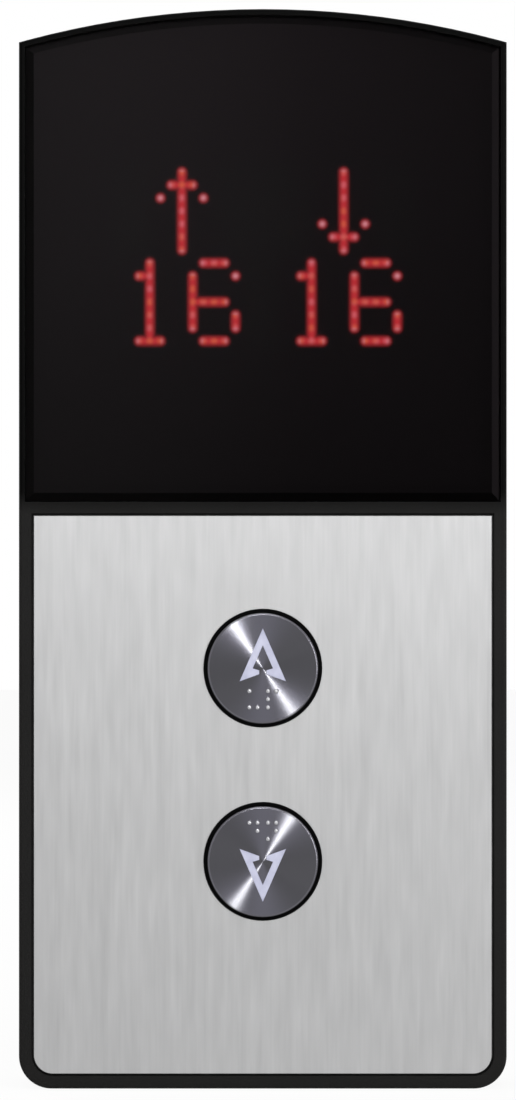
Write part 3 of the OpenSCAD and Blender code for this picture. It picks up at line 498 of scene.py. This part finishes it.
def litFinish(look):
    material, tree, shader = newFinish("litStrokes")
    place = objectPlace(tree)
    axes = splitAxes(place)
    fromMiddle = minus(calc("ABSOLUTE", axes["X"]), look["half"])
    fromRow = minus(axes["Z"], look["rowZ"])
    offset = joinAxes(tree, offPitch(fromMiddle, look["pitchX"]), 0.0, offPitch(fromRow, look["pitchZ"]))
    reach = vectorCalc("LENGTH", offset)
    drift = noise(place, look["drift"], look["driftDetail"])
    core = blendColour(spread(drift, 0.0, 1.0, look["driftLow"], look["driftHigh"]),
                       look["pink"], look["orange"])
    lone = addNode(tree, "ShaderNodeAttribute", attribute_name="lone").outputs["Fac"]
    dotted = blendColour(lone, core, look["pale"])
    warm = blendColour(spread(reach, 1.0, 0.0, look["coreFrom"], look["coreTo"]), look["red"], dotted)
    height = spread(axes["Y"], 0.0, 1.0, look["base"], look["base"] - look["dome"])
    glow = tinted(warm, calc("POWER", height, look["fade"]))
    body = blendColour(look["unlitShare"], glow, look["unlit"])
    setInputs(shader, {"Emission Color": glow, "Emission Strength": look["power"], "Base Color": body,
                       "Specular IOR Level": look["gloss"]})
    return material


# Arrow legends: milky plastic lit from behind, brighter and dimmer in soft patches
legendLook = {"colour": (0.305, 0.310, 0.385), "dim": (0.215, 0.220, 0.290), "dimTone": 0.75,
              "fullTone": 1.25, "power": 1.0, "rough": 0.35, "roughSwing": 0.08, "grain": 700.0,
              "patchScale": 220.0, "patch": 1.2}


def legendFinish(look):
    material, tree, shader = newFinish("legendGlow")
    cloud = useGrain(tree, look)
    glow = blendColour(spread(cloud["Tone"], 0.0, 1.0, look["dimTone"], look["fullTone"]),
                       look["dim"], look["colour"])
    layRoughness(shader, cloud["Height"], look)
    setInputs(shader, {"Emission Color": glow, "Emission Strength": look["power"], "Base Color": glow})
    return material


# Galvanised sheet: crystals of zinc, each with its own tone, tilt and streaks
sheetLook = {"dark": (0.40, 0.41, 0.42), "light": (0.56, 0.57, 0.58), "worn": (0.72, 0.72, 0.73),
             "wear": 0.5, "edge": 0.25 * mm, "breakup": 300.0, "crystal": 170.0, "crystalShare": 0.5,
             "tilt": 70.0, "warp": 4.0 * mm, "warpScale": 160.0, "warpDetail": 2.0,
             "streaks": (2600.0, 2600.0, 240.0), "streakDetail": 2.0, "streakShare": 0.45,
             "streakRise": 0.02, "slow": 14.0, "slowDetail": 3.0, "slowShare": 0.5,
             "darkRough": 0.32, "lightRough": 0.54, "bump": 1.0, "depth": 1.0 * mm}


def sheetFinish(look):
    material, tree, shader = newFinish("galvanisedSheet")
    place = objectPlace(tree)
    warp = noise(place, look["warpScale"], look["warpDetail"], output="Color")
    bent = vectorCalc("ADD", place, vectorCalc("MULTIPLY", warp, (look["warp"],) * 3))
    cell = addNode(tree, "ShaderNodeTexVoronoi", {"Vector": bent, "Scale": look["crystal"]}).outputs
    chances = addNode(tree, "ShaderNodeSeparateColor", {0: cell["Color"]}).outputs
    turned = turnAboutY(place, times(chances[1], 2 * math.pi))
    streak = noise(vectorCalc("MULTIPLY", turned, look["streaks"]), 1.0, look["streakDetail"])
    slow = noise(place, look["slow"], look["slowDetail"])
    mixed = plus(times(chances[0], look["crystalShare"]), times(streak, look["streakShare"]))
    tone = plus(mixed, swing(slow, look["slowShare"]))
    wear = useWear(tree, look)
    zinc = blendColour(tone, look["dark"], look["light"])
    layColour(shader, zinc, wear["Mask"], look)
    lean = vectorCalc("SUBTRACT", cell["Color"], (0.5,) * 3)
    offset = vectorCalc("SUBTRACT", bent, cell["Position"])
    facet = times(vectorCalc("DOT_PRODUCT", offset, lean), look["tilt"])
    height = plus(facet, times(streak, look["streakRise"]))
    layBump(shader, height, look, wear["Normal"])
    setInputs(shader, {"Metallic": 1.0, "Roughness": spread(tone, look["darkRough"], look["lightRough"])})
    return material


# Circuit boards: solder mask over blocks of parallel tracks, with gold pads
boardLook = {"mask": (0.010, 0.085, 0.035), "track": (0.020, 0.150, 0.062), "pad": (0.70, 0.52, 0.22),
             "cutEdge": (0.20, 0.19, 0.075), "block": 5.2 * mm, "pitch": 1.3 * mm, "width": 0.22,
             "soft": 0.06, "shuffle": 7.0, "busy": 0.78, "padScale": 150.0, "padScatter": 0.85,
             "padFrom": 0.07, "padTo": 0.09, "maskRough": 0.40, "trackRough": 0.30, "bump": 0.3,
             "depth": 0.03 * mm}


def boardFinish(look):
    material, tree, shader = newFinish("circuitBoard")
    place = objectPlace(tree)
    axes = splitAxes(place)
    block = vectorCalc("SNAP", place, (look["block"],) * 3)
    chance = firstOut(tree, "ShaderNodeTexWhiteNoise", {"Vector": block})
    level = calc("FRACT", calc("DIVIDE", axes["Z"], look["pitch"]))
    upright = calc("FRACT", calc("DIVIDE", axes["X"], look["pitch"]))
    along = blend(calc("GREATER_THAN", chance, 0.5), level, upright)
    aside = calc("ABSOLUTE", minus(along, 0.5))
    line = spread(aside, 1.0, 0.0, look["width"], look["width"] + look["soft"])
    shuffled = calc("FRACT", times(chance, look["shuffle"]))
    track = times(line, calc("LESS_THAN", shuffled, look["busy"]))
    green = blendColour(track, look["mask"], look["track"])
    dots = addNode(tree, "ShaderNodeTexVoronoi",
                   {"Vector": place, "Scale": look["padScale"], "Randomness": look["padScatter"]})
    pad = spread(dots.outputs["Distance"], 1.0, 0.0, look["padFrom"], look["padTo"])
    flat = addNode(tree, "ShaderNodeNewGeometry").outputs["True Normal"]
    face = calc("GREATER_THAN", calc("ABSOLUTE", splitAxes(flat)["Y"]), 0.5)
    gilded = blendColour(pad, green, look["pad"])
    layBump(shader, track, look)
    setInputs(shader, {"Base Color": blendColour(face, look["cutEdge"], gilded),
                       "Metallic": times(pad, face),
                       "Roughness": spread(track, look["maskRough"], look["trackRough"])})
    return material


print("effects ready")

finishes = {
    **{name: mouldedFinish(name, look) for name, look in mouldedLooks.items()},
    **{name: metalFinish(name, look) for name, look in metalLooks.items()},
    "faceplate": faceplateFinish(plateLook),
    "smokedLens": lensFinish(lensLook),
    "litDots": litFinish(dotLook),
    "legendGlow": legendFinish(legendLook),
    "galvanisedSheet": sheetFinish(sheetLook),
    "circuitBoard": boardFinish(boardLook),
}


def middleOf(name):
    low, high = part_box(name)
    return (low + high) / 2


# The two painted highlight fans lean opposite ways, and the tool marks swirl to suit the key light
keyLook = {"place": (-0.04, -1.25, 0.31), "aim": (0.0, 0.0, -0.02), "width": 0.08, "height": 0.35,
           "power": 2.45}
# lift: how much brighter the painted highlight fan is on each cap
fanPlan = {"up": {"lean": 34.0, "lift": 1.0}, "down": {"lean": -33.0, "lift": 1.45}}
for side, fan in fanPlan.items():
    middle = middleOf(side + "_housing")
    bearing = math.atan2(keyLook["place"][0] - middle.x, keyLook["place"][2] - middle.z)
    finishes[side + "Cap"] = capFinish(side + "SpunSteel", capLook, middle, fan["lean"], fan["lift"],
                                       fan["lean"] + math.degrees(bearing))

wearing = {
    "satinBlack": ["front_frame"],
    "smokedLens": ["display_lens"],
    "foamTape": ["lens_tape"],
    "faceplate": ["faceplate"],
    "brightSteel": ["faceplate_studs", "display_screws"],
    "zincPlate": ["stud_nuts"],
    "circuitBoard": ["display_board"],
    "moduleBlack": [side + part + "_module" for side in ("left_", "right_")
                    for part in ("arrow", "tens", "units")],
    "litDots": ["left_lit_dots", "right_lit_dots"],
    "chipBlack": ["driver_chips"],
    "terminalGreen": ["terminal_block"],
    "ivoryNylon": ["button_headers"],
    "switchBlue": ["address_switch"],
    "galvanisedSheet": ["back_box"],
    "rubberBlack": ["cable_grommet"],
    "blackScrew": ["frame_screws"],
    "brass": ["earth_stud"],
}
buttonWearing = {
    "collarBlack": "housing", "legendGlow": "arrow_lens", "whiteAcetal": "plunger",
    "springSteel": "spring", "circuitBoard": "switch_board", "switchBlack": "microswitch",
    "brightSteel": "switch_lever", "actuatorRed": "switch_actuator", "clearLamp": "leds",
    "ivoryNylon": "socket", "zincPlate": "board_screws",
}
for side in ("up", "down"):
    for finish, piece in buttonWearing.items():
        wearing.setdefault(finish, []).append(side + "_" + piece)
    wearing[side + "Cap"] = [side + "_cap"]

dressed = 0
for finish, names in wearing.items():
    for name in names:
        cad[name].data.materials.clear()
        cad[name].data.materials.append(finishes[finish])
        dressed += 1
print("dressed", dressed, "nodes")


# Geometry trees: what repeats or follows a path. Each takes sizes from a plan: Pitch X is its pitchX
def planKey(title):
    return title[0].lower() + title[1:].replace(" ", "")


def newTree(name, source, plan, titles, result):
    sizes = {title: plan[planKey(title)] for title in titles}
    inputs = {source: "Geometry", **sizes, "Finish": "Material"}
    tree, start, end = newGroup(name, "GeometryNodeTree", inputs, {result: "Geometry"})
    return tree, start, end, [start[title] for title in titles]


def finishTree(shape, start, end):
    tree = shape.id_data
    real = firstOut(tree, "GeometryNodeRealizeInstances", {0: shape})
    setInputs(end, {0: firstOut(tree, "GeometryNodeSetMaterial", {0: real, "Material": start["Finish"]})})
    return tree


def moveShape(shape, **changes):
    inputs = {key.capitalize(): value for key, value in changes.items()}
    return firstOut(shape.id_data, "GeometryNodeTransform", {"Geometry": shape, **inputs})


def joinShapes(shapes):
    joined = addNode(shapes[0].id_data, "GeometryNodeJoinGeometry")
    for shape in shapes:
        setInputs(joined.inputs, {0: shape})
    return joined.outputs[0]


def smoothShape(shape):
    return firstOut(shape.id_data, "GeometryNodeSetShadeSmooth", {0: shape})


def unitBall(tree, segments, rings):
    return firstOut(tree, "GeometryNodeMeshUVSphere", {"Segments": segments, "Rings": rings, "Radius": 1.0})


def rod(tree, sides, radius, depth):
    return firstOut(tree, "GeometryNodeMeshCylinder", {"Vertices": sides, "Radius": radius, "Depth": depth})


def circle(sides, radius):
    inputs = {"Resolution": sides, "Radius": radius}
    return firstOut(sides.id_data, "GeometryNodeCurvePrimitiveCircle", inputs)


def barAt(size, place):
    return moveShape(firstOut(size.id_data, "GeometryNodeMeshCube", {"Size": size}), translation=place)


def readMark(tree, name, kind):
    return firstOut(tree, "GeometryNodeInputNamedAttribute", {"Name": name}, data_type=kind)


def placeShape(start, shape, inputs):
    inputs = {"Points": start["Places"], "Instance": shape, **inputs}
    return firstOut(shape.id_data, "GeometryNodeInstanceOnPoints", inputs)


# Instances turned about the axis out of the wall by the attribute turn
def placeTurned(shape, start, end):
    tree = shape.id_data
    rotation = joinAxes(tree, y=readMark(tree, "turn", "FLOAT"))
    return finishTree(placeShape(start, shape, {"Rotation": rotation}), start, end)


def makeDotField(plan):
    tree, start, end, (radius, dome) = newTree("dotField", "Places", plan, ("Radius", "Dome"), "Dots")
    ball = unitBall(tree, plan["segments"], plan["rings"])
    dot = smoothShape(moveShape(ball, scale=joinAxes(tree, radius, dome, radius)))
    return finishTree(placeShape(start, dot, {}), start, end)


# Domes on lit dots and ridges between neighbours, told apart by the attribute kind
def makeGlowStrokes(plan):
    tree, start, end, (reach, dome, pitchX, pitchZ) = newTree(
        "glowStrokes", "Places", plan, ("Reach", "Dome", "Pitch X", "Pitch Z"), "Strokes")
    ball = unitBall(tree, plan["segments"], plan["rings"])
    upright = rod(tree, plan["segments"], 1.0, 1.0)
    level = moveShape(upright, rotation=(0.0, math.pi / 2, 0.0))
    kind = readMark(tree, "kind", "INT")
    shapes = ((ball, reach, reach), (upright, reach, pitchZ), (level, pitchX, reach))
    strokes = []
    for index, (shape, sizeX, sizeZ) in enumerate(shapes):
        sized = moveShape(shape, scale=joinAxes(tree, sizeX, dome, sizeZ))
        chosen = firstOut(tree, "FunctionNodeCompare", {2: kind, 3: index}, data_type="INT",
                          operation="EQUAL")
        strokes.append(placeShape(start, smoothShape(sized), {"Selection": chosen}))
    return finishTree(joinShapes(strokes), start, end)


def makeWireRun(plan):
    tree, start, end, (wire, sides) = newTree("wireRun", "Path", plan, ("Wire", "Sides"), "Coil")
    path = firstOut(tree, "GeometryNodeMeshToCurve", {0: start["Path"]})
    section = circle(sides, wire)
    swept = firstOut(tree, "GeometryNodeCurveToMesh",
                     {"Curve": path, "Profile Curve": section, "Fill Caps": True})
    return finishTree(smoothShape(swept), start, end)


# Profile turned round an axis that points out of the wall
def makeTurnedRing(plan):
    tree, start, end, (radius, sides, place) = newTree(
        "turnedRing", "Profile", plan, ("Radius", "Sides", "Place"), "Ring")
    path = circle(sides, radius)
    section = firstOut(tree, "GeometryNodeMeshToCurve", {0: start["Profile"]})
    swept = firstOut(tree, "GeometryNodeCurveToMesh", {"Curve": path, "Profile Curve": section})
    turned = moveShape(swept, translation=place, rotation=(math.pi / 2, 0.0, 0.0))
    return finishTree(smoothShape(turned), start, end)


# Bent legs of a chip: out of its side, down, and a foot in solder on the board
def makeChipLegs(plan):
    tree, start, end, (reach, rise, width, metal) = newTree(
        "chipLegs", "Places", plan, ("Reach", "Rise", "Width", "Metal"), "Legs")
    knee = times(reach, plan["kneeShare"])
    half = times(metal, 0.5)
    footLength = plus(minus(reach, knee), metal)
    footMiddle = minus(reach, times(footLength, 0.5))
    bars = (
        (knee, metal, times(knee, 0.5), minus(rise, half)),
        (metal, rise, minus(knee, half), times(rise, 0.5)),
        (footLength, metal, footMiddle, half))
    shapes = [barAt(joinAxes(tree, sizeX, sizeY, width), joinAxes(tree, placeX, placeY))
              for sizeX, sizeY, placeX, placeY in bars]
    dropSize = joinAxes(tree, times(footLength, plan["dropShare"]), metal, width)
    drop = moveShape(unitBall(tree, plan["segments"], plan["rings"]),
                     translation=joinAxes(tree, footMiddle), scale=dropSize)
    return placeTurned(joinShapes(shapes + [drop]), start, end)


# Solder joints: a cone of solder round the end of a pin
def makeSolderField(plan):
    tree, start, end, (radius, height, pin, stick) = newTree(
        "solderField", "Places", plan, ("Radius", "Height", "Pin", "Stick"), "Joints")
    cone = firstOut(tree, "GeometryNodeMeshCone", {"Vertices": plan["coneSides"], "Radius Top": pin,
                                                   "Radius Bottom": radius, "Depth": height})
    lift = joinAxes(tree, z=times(stick, 0.5))
    pinEnd = moveShape(rod(tree, plan["pinSides"], pin, stick), translation=lift)
    stood = moveShape(joinShapes([cone, pinEnd]), rotation=(-math.pi / 2, 0.0, 0.0))
    return placeTurned(stood, start, end)


# Terminal screws: a head with a driver slot
def makeSlottedScrews(plan):
    tree, start, end, (radius, height, slot) = newTree(
        "slottedScrews", "Places", plan, ("Radius", "Height", "Slot"), "Screws")
    head = rod(tree, plan["sides"], radius, height)
    size = joinAxes(tree, times(radius, plan["slotReach"]), slot, times(slot, plan["slotDepth"]))
    blade = barAt(size, joinAxes(tree, z=times(height, 0.5)))
    cut = firstOut(tree, "GeometryNodeMeshBoolean", {"Mesh 1": head, "Mesh 2": blade},
                   operation="DIFFERENCE")
    return placeTurned(moveShape(cut, rotation=(-math.pi / 2, 0.0, 0.0)), start, end)


# Address sliders: a block with a ridge for the fingertip
def makeSliderRow(plan):
    tree, start, end, (width, length, height) = newTree(
        "sliderRow", "Places", plan, ("Width", "Length", "Height"), "Sliders")
    shapes = []
    for share, level in ((1.0, 0.5), (plan["ridgeShare"], 1.0)):
        size = joinAxes(tree, width, height, times(length, share))
        shapes.append(barAt(size, joinAxes(tree, y=times(height, level))))
    return placeTurned(joinShapes(shapes), start, end)


def growPiece(name, tree, points, edges, plan, finish, marks=None):
    base = bpy.data.meshes.new(name + "Base")
    base.from_pydata(points, edges, [])
    for title, (kind, data) in (marks or {}).items():
        base.attributes.new(title, kind, "POINT").data.foreach_set("value", data)
    piece = bpy.data.objects.new(name, base)
    scene.collection.objects.link(piece)
    modifier = piece.modifiers.new("grow", "NODES")
    modifier.node_group = tree
    values = {**plan, "finish": finishes[finish]}
    for item in tree.interface.items_tree:
        if item.in_out == "INPUT" and planKey(item.name) in values:
            modifier[item.identifier] = values[planKey(item.name)]
    graph = bpy.context.evaluated_depsgraph_get()
    mesh = bpy.data.meshes.new_from_object(piece.evaluated_get(graph))
    piece.modifiers.remove(modifier)
    piece.data = mesh
    mesh.name = name
    bpy.data.meshes.remove(base)
    return piece


# Display dots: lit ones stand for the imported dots, dark ones fill the other wells
dotPlan = {"radius": 1.4 * mm, "dome": 0.52 * mm, "segments": 16, "rings": 8, "wellFloor": -25.45 * mm,
           "middleZ": 90.0 * mm, "arrowAt": (0.0, 3.5), "tensAt": (-3.0, -3.5), "unitsAt": (3.0, -3.5),
           "up": ["  #  ", " ### ", "# # #", "  #  ", "  #  ", "  #  ", "  #  "],
           "down": ["  #  ", "  #  ", "  #  ", "  #  ", "# # #", " ### ", "  #  "],
           "one": ["  #  ", " ##  ", "  #  ", "  #  ", "  #  ", "  #  ", " ### "],
           "six": [" ### ", "#   #", "#    ", "#### ", "#   #", "#   #", " ### "]}


# Places are counted in pitches from the middle of the display
def dotPlaces(plan, side, lit):
    arrow = plan["up"] if side < 0 else plan["down"]
    modules = ((arrow, plan["arrowAt"]), (plan["one"], plan["tensAt"]), (plan["six"], plan["unitsAt"]))
    places = []
    for pattern, (across, above) in modules:
        for row, line in enumerate(pattern):
            for column, mark in enumerate(line):
                if (mark == "#") == lit:
                    right = across + column - (len(line) - 1) / 2
                    up = above + (len(pattern) - 1) / 2 - row
                    places.append((side * dotLook["half"] + right * dotLook["pitchX"], plan["wellFloor"],
                                   plan["middleZ"] + up * dotLook["pitchZ"]))
    return places


def gridKey(x, z):
    return round(x / mm, 2), round(z / mm, 2)


# Adds the middle of each pair of lit neighbours: 1 for one above the other, 2 for side by side
def strokePlaces(dots):
    places = [(x, dotLook["base"], z) for x, y, z in dots]
    kinds = [0] * len(dots)
    numbers = {gridKey(x, z): i for i, (x, y, z) in enumerate(dots)}
    beside = [0] * len(dots)
    for i, (x, y, z) in enumerate(dots):
        for kind, stepX, stepZ in ((1, 0.0, dotLook["pitchZ"]), (2, dotLook["pitchX"], 0.0)):
            other = numbers.get(gridKey(x + stepX, z + stepZ))
            if other is not None:
                places.append((x + stepX / 2, dotLook["base"], z + stepZ / 2))
                kinds.append(kind)
                beside[i] += 1
                beside[other] += 1
    lone = [max(0.0, 1.0 - count / 2) for count in beside] + [0.0] * (len(places) - len(dots))
    return places, {"kind": ("INT", kinds), "lone": ("FLOAT", lone)}


strokePlan = {**dotLook, "reach": 2.35 * mm, "segments": 20, "rings": 10}
dotField = makeDotField(dotPlan)
glowStrokes = makeGlowStrokes(strokePlan)
for label, side in (("left", -1), ("right", 1)):
    dark = growPiece(label + "DarkDots", dotField, dotPlaces(dotPlan, side, False), [], dotPlan, "darkDots")
    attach(dark, "panel")
    places, marks = strokePlaces(dotPlaces(dotPlan, side, True))
    lit = growPiece(label + "LitStrokes", glowStrokes, places, [], strokePlan, "litDots", marks)
    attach(lit, "panel")
    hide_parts(label + "_lit_dots")
print("display dots placed")

# Return springs: closed ends, ground on the seat
springPlan = {"radius": 13.25 * mm, "wire": 0.4 * mm, "sides": 12, "seat": 14.1 * mm, "deck": 28.1 * mm,
              "turns": 5.0, "closed": 0.75, "steps": 40, "travel": 1.5 * mm}


def springPath(plan, middle, sign):
    wire = 2 * plan["wire"]
    free = plan["deck"] - plan["seat"] - wire * (1 + 2 * plan["closed"])
    active = plan["turns"] - 2 * plan["closed"]
    points = []
    count = int(plan["turns"] * plan["steps"])
    for i in range(count + 1):
        turn = i / plan["steps"]
        shut = min(turn, plan["closed"]) + max(0.0, turn - plan["turns"] + plan["closed"])
        share = min(1.0, max(0.0, (turn - plan["closed"]) / active))
        height = plan["seat"] + plan["wire"] + wire * shut + free * share
        angle = 2 * math.pi * turn
        points.append((sign * plan["radius"] * math.cos(angle), -height,
                       middle.z + sign * plan["radius"] * math.sin(angle)))
    return points


wireRun = makeWireRun(springPlan)
for side, sign in (("up", 1), ("down", -1)):
    middle = middleOf(side + "_housing")
    points = springPath(springPlan, middle, sign)
    edges = [(i, i + 1) for i in range(len(points) - 1)]
    piece = growPiece(side + "ReturnSpring", wireRun, points, edges, springPlan, "springSteel")
    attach(piece, "panel")
    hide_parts(side + "_spring")
    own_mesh(piece)
print("springs wound")

# Cable grommet: rolled lips on both sides of the dish
grommetPlan = {"bore": 10.0 * mm, "neck": 12.9 * mm, "lip": 16.0 * mm, "low": 0.8 * mm,
               "slotLow": 2.1 * mm, "slotHigh": 3.3 * mm, "high": 4.6 * mm, "mouth": 1.0 * mm,
               "rolled": 0.6 * mm, "inner": 0.3 * mm, "steps": 5, "sides": 72}


def roundedLoop(corners, steps):
    points = []
    for index, (x, y, radius) in enumerate(corners):
        here = Vector((x, y, 0.0))
        back = (Vector((*corners[index - 1][:2], 0.0)) - here).normalized()
        ahead = (Vector((*corners[(index + 1) % len(corners)][:2], 0.0)) - here).normalized()
        centre = here + (back + ahead) * radius
        for step in range(steps + 1):
            angle = math.pi / 2 * step / steps
            points.append(tuple(centre - radius * (ahead * math.cos(angle) + back * math.sin(angle))))
    return points


def grommetCorners(plan):
    neck = plan["neck"] - plan["bore"]
    lip = plan["lip"] - plan["bore"]
    return [(0.0, -plan["high"], plan["mouth"]), (lip, -plan["high"], plan["rolled"]),
            (lip, -plan["slotHigh"], plan["rolled"]), (neck, -plan["slotHigh"], plan["inner"]),
            (neck, -plan["slotLow"], plan["inner"]), (lip, -plan["slotLow"], plan["rolled"]),
            (lip, -plan["low"], plan["rolled"]), (0.0, -plan["low"], plan["mouth"])]


profile = roundedLoop(grommetCorners(grommetPlan), grommetPlan["steps"])
loop = [(i, (i + 1) % len(profile)) for i in range(len(profile))]
ringPlan = {"radius": grommetPlan["bore"], "sides": grommetPlan["sides"],
            "place": (0.0, 0.0, middleOf("cable_grommet").z)}
grommet = growPiece("cableGrommet", makeTurnedRing(ringPlan), profile, loop, ringPlan, "rubberBlack")
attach(grommet, "panel")
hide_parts("cable_grommet")
print("grommet turned")

# Rear of the display board: chip legs, solder joints, terminal screws, address sliders
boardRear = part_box("display_board")[1].y
legPlan = {"reach": 1.1 * mm, "rise": 1.2 * mm, "width": 0.42 * mm, "metal": 0.2 * mm, "kneeShare": 0.45,
           "dropShare": 0.45, "segments": 10, "rings": 6,
           "chips": [(x, 96.0) for x in (-33.2, -16.6, 16.6, 33.2)], "chipHalf": 3.7,
           "chipLegs": 11, "chipPitch": 1.27, "controller": (0.0, 74.0),
           "controllerHalf": 6.0, "controllerLegs": 11, "controllerPitch": 1.0}
jointPlan = {"radius": 0.8 * mm, "height": 0.7 * mm, "pin": 0.25 * mm, "stick": 1.2 * mm, "pitch": 2.54,
             "count": 7, "turn": 0.3, "coneSides": 12, "pinSides": 8,
             "modules": [(-24.9, 116.0, -1), (24.9, 116.0, -1), (-34.8, 64.0, 1), (-15.0, 64.0, 1),
                         (34.8, 64.0, 1), (15.0, 64.0, 1)]}
terminalPlan = {"radius": 1.5 * mm, "height": 2.2 * mm, "slot": 0.5 * mm, "slotReach": 3.0,
                "slotDepth": 3.0, "sides": 28, "floor": 7.8 * mm, "z": 47.0,
                "screws": [(-7.65, 0.4), (-2.55, 1.3), (2.55, -0.6), (7.65, 0.1)]}
sliderPlan = {"width": 1.1 * mm, "length": 1.6 * mm, "height": 0.6 * mm, "ridgeShare": 0.25,
              "floor": 3.2 * mm, "pitch": 2.54, "throws": [1.1, -1.1, -1.1, 1.1]}


# Place of one of a row's members from the middle of the row
def rowPlace(index, count, pitch):
    return (index - (count - 1) / 2) * pitch


# Middles of the legs along one side of a chip, in millimetres, with the way that they point
def legRow(middle, half, count, pitch, turn):
    row = []
    for i in range(count):
        along = rowPlace(i, count, pitch)
        x = middle[0] + half * math.cos(turn) + along * math.sin(turn)
        z = middle[1] - half * math.sin(turn) + along * math.cos(turn)
        row.append((x, z, turn))
    return row


legs = []
for chip in legPlan["chips"]:
    for turn in (0.0, math.pi):
        legs += legRow(chip, legPlan["chipHalf"], legPlan["chipLegs"], legPlan["chipPitch"], turn)
for quarter in range(4):
    legs += legRow(legPlan["controller"], legPlan["controllerHalf"], legPlan["controllerLegs"],
                   legPlan["controllerPitch"], quarter * math.pi / 2)
joints = [(x + rowPlace(i, jointPlan["count"], jointPlan["pitch"]), z + row * way * jointPlan["pitch"],
           jointPlan["turn"] * i)
          for x, z, way in jointPlan["modules"] for row in range(2) for i in range(jointPlan["count"])]
screws = [(x, terminalPlan["z"], turn) for x, turn in terminalPlan["screws"]]
screwMiddle = terminalPlan["floor"] + terminalPlan["height"] / 2
address = middleOf("address_switch") / mm
sliders = [(address.x + rowPlace(i, len(sliderPlan["throws"]), sliderPlan["pitch"]), address.z + throw, 0.0)
           for i, throw in enumerate(sliderPlan["throws"])]


def boardPiece(name, makeTree, spots, rise, plan, finish):
    points = [(x * mm, boardRear + rise, z * mm) for x, z, turn in spots]
    piece = growPiece(name, makeTree(plan), points, [], plan, finish,
                      {"turn": ("FLOAT", [turn for x, z, turn in spots])})
    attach(piece, "panel")


boardPiece("chipLegs", makeChipLegs, legs, 0.0, legPlan, "solderTin")
boardPiece("moduleJoints", makeSolderField, joints, 0.0, jointPlan, "solderTin")
boardPiece("terminalScrews", makeSlottedScrews, screws, screwMiddle, terminalPlan, "zincPlate")
boardPiece("addressSliders", makeSliderRow, sliders, sliderPlan["floor"], sliderPlan, "whiteAcetal")

# Floor, world and lamps
floorLook = {"size": 8.0, "level": cadBox[0].z - 0.2 * mm, "colour": (0.93,) * 3, "rough": 0.9,
             "veil": 0.93}
worldLook = {"ambient": 0.45, "seen": 1.0}
origin = (0.0,) * 3
lampPlan = {
    "keyStrip": keyLook,
    "topSoftbox": {"place": (0.0, -0.7, 1.25), "aim": origin, "width": 0.9, "height": 0.7, "power": 6.0},
    "rightSoftbox": {"place": (0.9, -1.1, 0.15), "aim": origin, "width": 0.3, "height": 0.9, "power": 7.0},
    "backSoftbox": {"place": (-0.6, 1.3, 0.8), "aim": origin, "width": 0.8, "height": 0.6, "power": 8.0},
}
white = (1.0,) * 4


# 1 for rays that show a thing to the viewer: straight on, in a mirror or through the lens
def seenRays(tree):
    path = addNode(tree, "ShaderNodeLightPath").outputs
    bent = calc("MAXIMUM", path["Is Glossy Ray"], path["Is Transmission Ray"])
    return calc("MAXIMUM", path["Is Camera Ray"], bent)


def mixShaders(amount, first, second):
    return firstOut(amount.id_data, "ShaderNodeMixShader", {0: amount, 1: first, 2: second})


def makeFloor(look):
    half = look["size"] / 2
    corners = [(-half, -half), (half, -half), (half, half), (-half, half)]
    mesh = bpy.data.meshes.new("studioFloor")
    mesh.from_pydata([(x, y, look["level"]) for x, y in corners], [], [(0, 1, 2, 3)])
    floor = bpy.data.objects.new("studioFloor", mesh)
    scene.collection.objects.link(floor)
    material, tree, shader = newFinish("paleFloor")
    setInputs(shader, {"Base Color": rgba(look["colour"]), "Roughness": look["rough"],
                       "Specular IOR Level": 0.0})
    output = next(n for n in tree.nodes if n.type == "OUTPUT_MATERIAL")
    body = next(n for n in tree.nodes if n.type == "BSDF_PRINCIPLED")
    glow = firstOut(tree, "ShaderNodeEmission", {"Color": white, "Strength": 1.0})
    veil = mixShaders(times(seenRays(tree), look["veil"]), body.outputs[0], glow)
    under = addNode(tree, "ShaderNodeNewGeometry").outputs["Backfacing"]
    oneSided = mixShaders(under, veil, firstOut(tree, "ShaderNodeBsdfTransparent"))
    setInputs(output.inputs, {"Surface": oneSided})
    mesh.materials.append(material)


def makeWorld(look):
    world = bpy.data.worlds.new("studioWorld")
    scene.world = world
    world.use_nodes = True
    tree = world.node_tree
    tree.nodes.clear()
    soft, bright = (firstOut(tree, "ShaderNodeBackground", {"Color": white, "Strength": look[key]})
                    for key in ("ambient", "seen"))
    addNode(tree, "ShaderNodeOutputWorld", {"Surface": mixShaders(seenRays(tree), soft, bright)})


def addLamp(name, look):
    data = bpy.data.lights.new(name, "AREA")
    data.shape = "RECTANGLE"
    data.size = look["width"]
    data.size_y = look["height"]
    data.energy = look["power"]
    lamp = bpy.data.objects.new(name, data)
    scene.collection.objects.link(lamp)
    lamp.location = look["place"]
    lamp.rotation_mode = "QUATERNION"
    lamp.rotation_quaternion = (Vector(look["aim"]) - Vector(look["place"])).to_track_quat("-Z", "Y")
    lamp.visible_camera = False


makeFloor(floorLook)
makeWorld(worldLook)
for name, look in lampPlan.items():
    addLamp(name, look)
print("studio lit")

# Camera: straight on, framed as the photo is
view = {"lens": 150.0, "sensor": 36.0, "height": 0.33806, "x": -0.00148, "z": -0.00037, "front": -0.030}
cameraData = bpy.data.cameras.new("camera")
cameraData.lens = view["lens"]
cameraData.sensor_width = view["sensor"]
camera = bpy.data.objects.new("camera", cameraData)
scene.collection.objects.link(camera)
camera.location = (view["x"], view["front"] - view["height"] * view["lens"] / view["sensor"], view["z"])
camera.rotation_euler = (math.pi / 2, 0.0, 0.0)
scene.camera = camera
